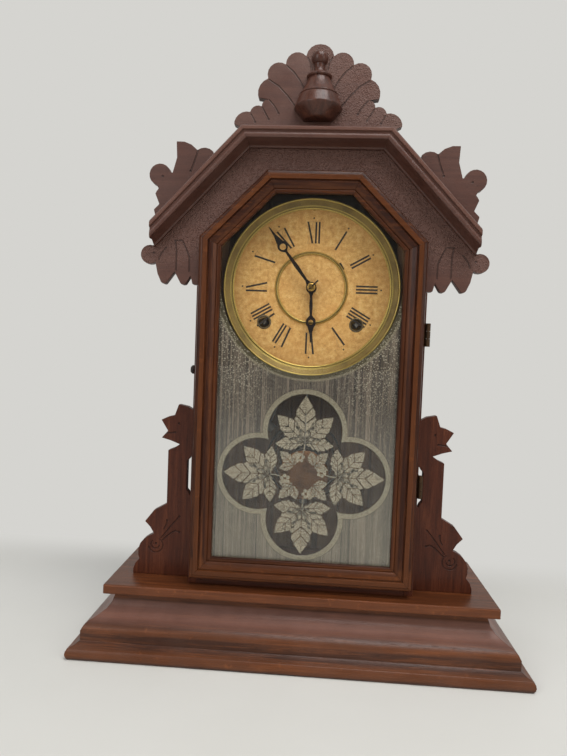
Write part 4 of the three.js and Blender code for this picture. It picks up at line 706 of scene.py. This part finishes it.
def world():
    """Soft grey light. The eye, and mirrored rays that head behind the clock, meet the pale backdrop."""
    sky = bpy.data.worlds.new("studio")
    bpy.context.scene.world = sky
    sky.use_nodes = True
    nodes, links = sky.node_tree.nodes, sky.node_tree.links
    nodes.clear()

    def node(kind, settings=None, inputs=None):
        made = nodes.new(kind)
        for key, value in (settings or {}).items():
            setattr(made, key, value)
        for key, value in (inputs or {}).items():
            if isinstance(value, bpy.types.NodeSocket):
                links.new(value, made.inputs[key])
            else:
                made.inputs[key].default_value = value
        return made

    path = node("ShaderNodeLightPath").outputs
    heading = node("ShaderNodeTexCoord").outputs["Generated"]
    behind = node("ShaderNodeSeparateXYZ", inputs={0: heading}).outputs["Y"]
    smooth = {"interpolation_type": "SMOOTHSTEP"}
    behind = node("ShaderNodeMapRange", smooth, {0: behind, 1: -0.25, 2: 0.25}).outputs[0]
    mirrored = node("ShaderNodeMath", {"operation": "MULTIPLY"}, {0: path["Is Glossy Ray"], 1: behind})
    mirrored = mirrored.outputs[0]
    direct = node("ShaderNodeMath", {"operation": "MAXIMUM"},
                  {0: path["Is Camera Ray"], 1: path["Is Transmission Ray"]}).outputs[0]
    both = node("ShaderNodeMath", {"operation": "MAXIMUM"}, {0: direct, 1: mirrored}).outputs[0]
    lit = node("ShaderNodeBackground", inputs={"Color": (0.93, 0.96, 1.0, 1.0), "Strength": 0.42}).outputs[0]
    room = node("ShaderNodeBackground", inputs={"Color": (1.0, 0.9, 0.8, 1.0), "Strength": 0.14}).outputs[0]
    seen = node("ShaderNodeBackground", inputs={"Color": BACKDROP, "Strength": 1.0}).outputs[0]
    plain = node("ShaderNodeMixShader", inputs={0: path["Is Glossy Ray"], 1: lit, 2: room}).outputs[0]
    choose = node("ShaderNodeMixShader", inputs={0: both, 1: plain, 2: seen}).outputs[0]
    node("ShaderNodeOutputWorld", inputs={"Surface": choose})


def lamp(name, at, towards, size, power, colour=(1.0, 1.0, 1.0)):
    data = bpy.data.lights.new(name, "AREA")
    data.shape = "RECTANGLE"
    data.size, data.size_y = size
    data.energy = power
    data.color = colour
    light = bpy.data.objects.new(name, data)
    bpy.context.scene.collection.objects.link(light)
    light.location = at
    light.rotation_mode = "QUATERNION"
    light.rotation_quaternion = (Vector(towards) - Vector(at)).to_track_quat("-Z", "Y")


# ---------------------------------------------------------------- wood

HEAD = (tone(48, 28, 22), tone(74, 45, 36), tone(100, 65, 52))
BRACKET = (tone(38, 15, 7), tone(68, 31, 17), tone(100, 54, 32))
DOOR = (tone(28, 9, 3), tone(50, 22, 9), tone(102, 57, 27))
BASE = (tone(34, 16, 9), tone(60, 33, 20), tone(122, 70, 38))
BOARD = (tone(30, 12, 5), tone(56, 27, 12), tone(124, 70, 38))


def woodwork():
    ears = cuts_from(EAR_CUTS + DROP_CUTS, EAR_DOTS)
    head = wood("carved head walnut", "X", HEAD, 0.5, 0.08, figured=0.5, cuts=ears, pebbles_and_sheen=head_pebbles_and_sheen)
    eased("head_board", head, 0.6)
    fan = cuts_from(CREST_CUTS, CREST_DOTS)
    crest = wood("carved crest walnut", "X", HEAD, 0.5, 0.35, figured=0.5, cuts=fan, pebbles_and_sheen=crest_pebbles_and_sheen)
    eased("crest", crest, 0.8)
    scrolls = cuts_from(BRACKET_CUTS, BRACKET_DOTS, BRACKET_RINGS)
    bracket = wood("carved bracket walnut", "Z", BRACKET, 0.44, shine=0.2, cuts=scrolls)
    eased("side_bracket_left", bracket, 0.6)
    eased("side_bracket_right", bracket, 0.6)
    rail = wood("head moulding walnut", "X", HEAD, 0.38, 0.15, figured=0.6, worn=moulding_wear_and_highlight)
    for node in ("head_moulding_top", "head_moulding_left", "head_moulding_right"):
        eased(node, rail, 0.25)
    upright = wood("case walnut", "Z", BRACKET, 0.46, shine=0.2)
    eased("case_side_left", upright, 0.5)
    eased("case_side_right", upright, 0.5)
    level = wood("case floor walnut", "X", BRACKET, 0.5)
    eased("case_floor", level, 0.5)
    eased("case_top", level, 0.6)
    base_settings = {"figured": 0.8, "worn": base_wear_and_highlight, "dust_and_sheen": base_dust_and_sheen, "shine": 0.2}
    base = wood("base walnut", "X", BASE, 0.36, 0.1, **base_settings)
    eased("base_moulding_front", base, 0.4, threshold=35.0)
    sides = wood("base side walnut", "Y", BASE, 0.36, 0.1, **base_settings)
    eased("base_moulding_left", sides, 0.4, threshold=35.0)
    eased("base_moulding_right", sides, 0.4, threshold=35.0)
    board = wood("base board walnut", "X", BOARD, 0.34, worn=board_wear_and_highlight, shine=0.24)
    eased("base_board", board, 0.7)
    stile = wood("door stile walnut", "Z", DOOR, 0.34, worn=door_wear_and_highlight, coat=0.06, shine=0.16)
    for node in ("door_stile_left", "door_stile_right"):
        eased(node, stile, 0.3)
    cross = wood("door rail walnut", "X", DOOR, 0.34, worn=door_wear_and_highlight, coat=0.06, shine=0.16)
    for node in ("door_rail_bottom", "door_rail_top", "door_slope_left", "door_slope_right"):
        eased(node, cross, 0.3)
    plain = softwood("backboard softwood", "Z")
    eased("backboard", plain, 0.5)
    eased("dial_batten_left", plain, 0.4)
    eased("dial_batten_right", plain, 0.4)


# the finial's radius at each height
FINIAL = [(0.0, 491.4), (12.6, 491.4), (13.4, 491.9), (14.6, 493.4), (16.4, 495.6), (18.6, 498.0),
          (20.4, 500.2), (21.4, 501.8), (21.6, 502.7), (21.3, 503.4), (20.7, 504.8), (20.0, 507.2),
          (19.1, 509.8), (18.3, 512.0), (17.9, 512.7), (17.1, 512.9), (17.0, 513.3), (17.5, 513.7),
          (17.5, 514.3), (16.9, 514.9), (15.6, 516.6), (14.1, 519.4), (12.8, 521.8), (11.6, 524.2),
          (10.6, 526.6), (9.9, 528.4), (9.8, 529.0), (10.4, 529.2), (11.3, 529.9), (11.5, 530.7),
          (11.1, 531.4), (9.6, 532.0), (7.2, 532.8), (5.6, 534.2), (4.8, 536.0), (4.6, 538.2), (4.7, 540.4),
          (5.0, 541.4), (4.9, 541.7), (6.0, 542.4), (6.9, 544.0), (7.4, 546.2), (7.35, 548.2), (6.8, 550.2),
          (5.6, 551.9), (3.8, 553.1), (1.8, 553.6), (0.0, 553.7)]


def finial():
    """The half turning, with its full run of beads and coves."""
    segments, count = 40, len(FINIAL)
    points = []
    for i in range(segments + 1):
        angle = math.pi * (1 + i / segments)
        points += [(r * math.cos(angle), WOOD_FRONT + r * math.sin(angle), z) for r, z in FINIAL]
    faces = [(i * count + k, i * count + k + 1, (i + 1) * count + k + 1, (i + 1) * count + k)
             for i in range(segments) for k in range(count - 1)]
    back = list(range(count)) + [segments * count + k for k in reversed(range(count))]
    faces.append(tuple(back))
    finish = wood("turned finial walnut", "Z", (tone(34, 18, 13), tone(66, 38, 29), tone(98, 60, 46)), 0.3)
    piece = from_faces("finial_turned", points, faces, "case", finish, "walnut", 60.0)
    work = bmesh.new()
    work.from_mesh(piece.data)
    bmesh.ops.remove_doubles(work, verts=work.verts, dist=0.00001)
    work.to_mesh(piece.data)
    work.free()
    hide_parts("finial")


# ---------------------------------------------------------------- dial

GLYPHS = {"I": 3.05, "V": 5.8, "X": 7.9}
LEAN = {"V": 2.6, "X": 2.4}
NUMERALS = ["I", "II", "III", "IIII", "V", "VI", "VII", "VIII", "IX", "X", "XI", "XII"]
NUMERAL_FOOT, NUMERAL_HEAD = 42.3, 62.6


def stroke(points, faces, hour, start, end, width):
    """A straight stroke between (across, outward) points on the dial."""
    turn = math.radians(30.0 * hour)
    (u0, v0), (u1, v1) = start, end
    half = width / 2
    corners = [(u0 - half, v0), (u0 + half, v0), (u1 + half, v1), (u1 - half, v1)]
    first = len(points)
    for u, v in corners:
        points.append((u * math.cos(turn) + v * math.sin(turn), DIAL_FACE - 0.05,
                       DIAL_Z - u * math.sin(turn) + v * math.cos(turn)))
    faces.append((first, first + 1, first + 2, first + 3))


def numerals():
    thick, thin = ([], []), ([], [])
    low, high = NUMERAL_FOOT, NUMERAL_HEAD
    for i, text in enumerate(NUMERALS):
        hour = i + 1
        width = sum(GLYPHS[c] for c in text)
        u = -width / 2
        for letter in text:
            middle = u + GLYPHS[letter] / 2
            if letter == "I":
                stroke(*thick, hour, (middle, low), (middle, high), 1.7)
            elif letter == "V":
                stroke(*thick, hour, (middle, low), (middle - LEAN["V"], high), 1.8)
                stroke(*thin, hour, (middle + 0.3, low), (middle + LEAN["V"], high), 0.4)
            else:
                stroke(*thick, hour, (middle + LEAN["X"], low), (middle - LEAN["X"], high), 1.8)
                stroke(*thin, hour, (middle - LEAN["X"], low), (middle + LEAN["X"], high), 0.4)
            u += GLYPHS[letter]
        for v in (low, high):
            stroke(*thin, hour, (0.0, v - 0.2), (0.0, v + 0.2), width - 0.8)
        stroke(*thick, hour, (0.0, 65.2), (0.0, 66.7), 1.3)
    black = printed("worn black numerals", tone(40, 31, 22), tone(176, 134, 78), 0.3)
    faint = printed("faded hairlines", tone(142, 106, 62), tone(178, 138, 82), 0.6)
    from_faces("dial_numerals", *thick, "case", black, "dial_paper")
    from_faces("dial_hairlines", *thin, "case", faint, "dial_paper")


def dial():
    repaint(dial_paper(), "dial_pan")
    gilt = rolled_gilt("olive gilt rim", DIAL_Z, [(73.8, 75.4), (76.2, 77.2), (81.9, 84.0)])
    inner_gilt = rolled_gilt("olive gilt inner ring", DIAL_Z, [(31.5, 32.5), (33.9, 35.0)])
    grommet = metal("greyed winding rim", tone(120, 104, 74), tone(60, 50, 36), 0.4, 0.6, 0.6)
    rim = [(73.8, -10.0), (73.8, -10.9), (74.0, -11.5), (74.4, -11.95), (75.0, -12.2), (75.6, -12.1),
           (75.9, -11.8), (76.2, -12.1), (76.6, -12.2), (77.0, -12.1), (77.3, -12.35), (78.6, -13.1),
           (80.2, -14.0), (81.5, -14.7), (81.8, -15.0), (82.0, -15.6), (82.5, -15.95), (83.1, -15.95),
           (83.6, -15.5), (84.0, -14.4), (84.0, -10.0)]
    bezel = from_faces("dial_bezel_rolled", *turned(rim, 128, 0.0, DIAL_Z), "case", gilt, "brass", 50.0)
    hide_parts("dial_bezel")
    band = [(31.5, -10.0), (31.6, -10.9), (32.0, -11.7), (32.7, -12.2), (33.4, -12.1), (34.1, -11.6),
            (34.6, -10.9), (35.0, -10.0)]
    rolled = turned(band, 96, 0.0, DIAL_Z)
    ring = from_faces("dial_centre_ring_rolled", *rolled, "case", inner_gilt, "brass", 60.0)
    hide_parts("dial_centre_ring")
    eyelet = [(5.3, -6.4), (5.3, -10.3), (5.6, -10.7), (6.1, -10.7), (6.7, -10.3), (6.9, -10.0)]
    for side, x in (("left", -WINDING_X), ("right", WINDING_X)):
        hole = turned(eyelet, 40, x, DIAL_Z - WINDING_DROP)
        from_faces(f"winding_hole_rim_{side}", *hole, "case", grommet, "brass", 60.0)
    numerals()


# ---------------------------------------------------------------- tablet

def tablet():
    """The stencilled picture on the back of the door's glass."""
    columns = 44
    points = []
    for i in range(columns + 1):
        x = -FILM_HALF_WIDTH + 2 * FILM_HALF_WIDTH * i / columns
        reach = math.sqrt(max(0.0, ARCH_FILM ** 2 - x * x))
        points += [(x, FILM_Y, FILM_FOOT), (x, FILM_Y, DIAL_Z - reach)]
    faces = [(2 * i, 2 * i + 2, 2 * i + 3, 2 * i + 1) for i in range(columns)]
    from_faces("tablet_ground", points, faces, "door", tablet_ground(), "glass")

    plain, worn = ([], []), ([], [])
    for (cx, cz), radius in QUATREFOIL:
        heading = math.degrees(math.atan2(cz - MIDDLE_Z, cx))
        leaf(plain, worn, cx, cz, heading, radius - 5.5)
    for k in range(4):
        heading = 45 + 90 * k
        foot = from_middle(13.0, heading)
        for spread, length, width in ((0, 18.0, 9.5), (58, 13.5, 8.0), (-58, 13.5, 8.0)):
            lobe(plain, worn, *foot, heading + spread, length, width)
        blossom(*plain, *from_middle(17.0, 90 * k + 12), 5.0, 14.0 * k)
    from_faces("tablet_leaves", *plain, "door", stencil_cream("stencilled cream", 0.15), "glass")
    from_faces("tablet_leaf_shading", *worn, "door", stencil_cream("stippled cream", 0.75), "glass")


def from_middle(reach, heading):
    turn = math.radians(heading)
    return reach * math.cos(turn), MIDDLE_Z + reach * math.sin(turn)


# half of a lobe's saw edge, as shares of its length and width
LOBE_EDGE = [(0.04, 0.08), (0.15, 0.42), (0.19, 0.38), (0.32, 0.84), (0.37, 0.74), (0.5, 1.0), (0.56, 0.84),
             (0.68, 0.84), (0.75, 0.62), (0.86, 0.4), (1.0, 0.0)]


def lobe(plain, worn, x, z, heading, length, width, gap=0.8):
    """A saw-edged leaf lobe with its midrib and side veins left clear; its two halves differ in wear."""
    turn = math.radians(heading)
    for side, (points, faces) in ((-1, plain), (1, worn)):
        for start in range(0, 10, 2):
            edge = LOBE_EDGE[start:start + 3]
            low, high = edge[0][0], edge[-1][0]
            slip = 0.03 if start else 0.0
            rim = [(a + (slip if k == 0 else 0.0), w) for k, (a, w) in enumerate(edge)]
            rib = [(max(0.03, high - 0.17), 0.0), (max(0.02, low + slip - 0.17), 0.0)]
            if high == 1.0:
                rib.insert(0, (0.98, 0.0))
            first = len(points)
            for a, w in rim + rib:
                u, v = length * a, side * (gap / 2 * (1.1 - a) + width / 2 * w)
                points.append((x + u * math.cos(turn) - v * math.sin(turn), LEAF_Y,
                               z + u * math.sin(turn) + v * math.cos(turn)))
            faces.append(tuple(range(first, len(points))))


def leaf(plain, worn, x, z, heading, reach):
    """One large five-lobed leaf on its stem."""
    turn = math.radians(heading)
    foot = (x - reach * 0.32 * math.cos(turn), z - reach * 0.32 * math.sin(turn))
    lobes = ((0, 1.3, 20.0), (46, 1.06, 17.0), (-46, 1.06, 17.0), (94, 0.8, 12.5), (-94, 0.8, 12.5))
    for spread, share, width in lobes:
        lobe(plain, worn, *foot, heading + spread, reach * share, width)
    points, faces = plain
    first = len(points)
    for k in range(7):
        along, bend = -1.0 - 1.9 * k, 0.05 * k * k
        for half in (-0.45, 0.45):
            u, v = along, bend + half
            points.append((foot[0] + u * math.cos(turn) - v * math.sin(turn), LEAF_Y,
                           foot[1] + u * math.sin(turn) + v * math.cos(turn)))
        if k:
            a = first + 2 * k
            faces.append((a - 2, a - 1, a + 1, a))


def blossom(points, faces, x, z, radius, turn):
    """Five round petals with clear lines between them."""
    ring, petal = radius * 0.58, radius * 0.34
    for k in range(5):
        angle = math.radians(turn + 72 * k)
        across, up = x + ring * math.cos(angle), z + ring * math.sin(angle)
        first = len(points)
        points += [(across + petal * math.cos(t * math.pi / 5), BLOSSOM_Y,
                    up + petal * math.sin(t * math.pi / 5)) for t in range(10)]
        faces.append(tuple(range(first, first + 10)))


# ---------------------------------------------------------------- metalwork

def screw(name, x, y, z, radius, body, finish, facing):
    """A slotted screw head; facing is the outward direction."""
    profile = [(0.0, 0.55), (0.6, 0.52), (0.85, 0.36), (1.0, 0.0)]
    segments = 20
    points, faces = [], []
    for i in range(segments):
        angle = 2 * math.pi * i / segments
        for r, h in profile[1:]:
            points.append((r * radius * math.cos(angle), r * radius * math.sin(angle), h * radius))
    points.append((0.0, 0.0, profile[0][1] * radius))
    top = len(points) - 1
    for i in range(segments):
        a, b = 3 * i, 3 * ((i + 1) % segments)
        faces += [(a, top, b), (a, b, b + 1, a + 1), (a + 1, b + 1, b + 2, a + 2)]
    slot = len(points)
    reach, half, depth = radius * 0.9, radius * 0.14, radius * 0.56
    points += [(-reach, -half, depth), (reach, -half, depth), (reach, half, depth), (-reach, half, depth)]
    faces.append((slot, slot + 1, slot + 2, slot + 3))
    turn = Vector(facing).to_track_quat("Z", "Y") @ Quaternion((0, 0, 1), 0.6 + x * 0.1)
    placed = [turn @ Vector(p) + Vector((x, y, z)) for p in points]
    return from_faces(name, [tuple(p) for p in placed], faces, body, finish, "brass", 50.0)


def screws(hinge, iron, brass):
    for level, z in HINGE_HEIGHTS.items():
        for end, k in (("low", -7.2), ("high", 7.2)):
            screw(f"hinge_screw_{level}_{end}", HINGE_FACE, -26.5, z + k, 1.7, "case", hinge, (1, 0, 0))
    for i, (x, z) in enumerate(BACKBOARD_SCREWS):
        screw(f"backboard_screw_{i + 1}", x, BACKBOARD_FACE, z, 2.6, "case", iron, (0, 1, 0))
    ring, across = 74.0, 70.2
    up = math.sqrt(ring ** 2 - across ** 2)
    for i, (x, z) in enumerate([(-across, -up), (across, up), (0.0, ring)]):
        screw(f"dial_screw_{i + 1}", x, DIAL_FACE, DIAL_Z + z, 1.1, "case", brass, (0, -1, 0))


def pendulum_bob(finish):
    """The bob's two pressed shells, crimped at the rim."""
    half = [(0.0, 6.0), (6.0, 5.7), (12.0, 4.8), (17.0, 3.4), (21.0, 1.9), (23.2, 1.0), (23.9, 0.6)]
    lens = [(r, -y) for r, y in half] + [(24.0, 0.0)] + half[::-1]
    shells = turned([(r, y + BOB_Y) for r, y in lens], 72, 0.0, BOB_Z)
    bob = from_faces("pendulum_bob_polished", *shells, "pendulum", finish, "brass", 50.0)
    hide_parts("pendulum_bob")


def hand_fixings(brass, iron):
    """The domed washer and the taper pin that hold the minute hand."""
    washer = [(1.2, -20.0), (1.3, -20.5), (2.6, -20.6), (3.9, -20.2), (4.1, -19.8), (4.0, -19.5),
              (1.2, -19.5)]
    from_faces("hand_washer", *turned(washer, 40, 0.0, DIAL_Z), "minute_set", brass, "brass", 50.0)
    sides, lean, middle = 10, math.sqrt(0.5), -21.3
    pin = []
    for i in range(sides):
        angle = 2 * math.pi * i / sides
        for along, radius in ((-3.4, 0.45), (8.8, 0.8)):
            across, up = radius * math.cos(angle), radius * math.sin(angle)
            pin.append(((along - across) * lean, middle + up, DIAL_Z + (along + across) * lean))
    faces = [(2 * i, 2 * ((i + 1) % sides), 2 * ((i + 1) % sides) + 1, 2 * i + 1) for i in range(sides)]
    faces += [tuple(2 * i for i in range(sides)), tuple(2 * i + 1 for i in reversed(range(sides)))]
    from_faces("hand_taper_pin", pin, faces, "minute_set", iron, "brass", 60.0)


def metalwork():
    brass = metal("movement brass", tone(182, 148, 78), tone(112, 84, 40), 0.3, 0.6)
    plates = metal("plate brass", tone(176, 142, 76), tone(104, 78, 40), 0.32, 0.7, brushed="Z")
    steel = metal("greyed steel", tone(142, 140, 136), tone(78, 70, 62), 0.36, 0.6)
    spring = metal("spring steel", tone(96, 98, 104), tone(52, 48, 48), 0.32, 0.5, brushed="Y")
    iron = metal("black iron", tone(46, 44, 43), tone(74, 52, 38), 0.5, 0.5, 0.6)
    blued = metal("blued steel", tone(36, 32, 34), tone(66, 48, 36), 0.34, 0.45, 0.8)
    gong = metal("gong wire", tone(92, 82, 74), tone(60, 44, 34), 0.4, 0.6)
    hinge = metal("darkened hinge brass", tone(70, 50, 30), tone(42, 28, 18), 0.46, 0.8, 0.7)
    copper = metal("tarnished bob", tone(128, 88, 54), tone(74, 48, 30), 0.4, 0.7)
    repaint(plates, "front_plate", "back_plate")
    repaint(brass, "time_great_wheel", "strike_great_wheel", "second_wheel", "centre_wheel", "third_wheel",
            "escape_wheel", "strike_second_wheel", "fly", "cannon_pinion", "minute_wheel", "hour_wheel")
    repaint(spring, "time_mainspring", "strike_mainspring")
    repaint(steel, "time_winding_arbor", "strike_winding_arbor", "verge", "pendulum_rod", "hammer")
    repaint(gong, "gong_coil")
    repaint(iron, "gong_base", "latch")
    repaint(hinge, "hinge_upper_case_leaf", "hinge_lower_case_leaf", "hinge_upper_door_leaf",
            "hinge_lower_door_leaf", "door_staple")
    repaint(window_glass(), "door_glass")
    eased("minute_hand", blued, 0.14, 1)
    eased("hour_hand", blued, 0.14, 1)
    pendulum_bob(copper)
    hand_fixings(brass, iron)
    screws(hinge, iron, brass)


# ---------------------------------------------------------------- the scene

camera()
floor()
world()
lamp("ceiling", (0.35, -0.8, 1.75), (0.0, 0.0, 0.3), (1.2, 1.0), 26.0)
lamp("window", (-1.2, -1.5, 0.95), (0.0, 0.0, 0.26), (1.0, 1.2), 12.0)
lamp("room", (1.5, -1.3, 0.8), (0.0, 0.0, 0.25), (1.0, 1.0), 8.0, (1.0, 0.97, 0.92))
woodwork()
finial()
dial()
tablet()
metalwork()

scene = bpy.context.scene
scene.view_settings.view_transform = "Standard"
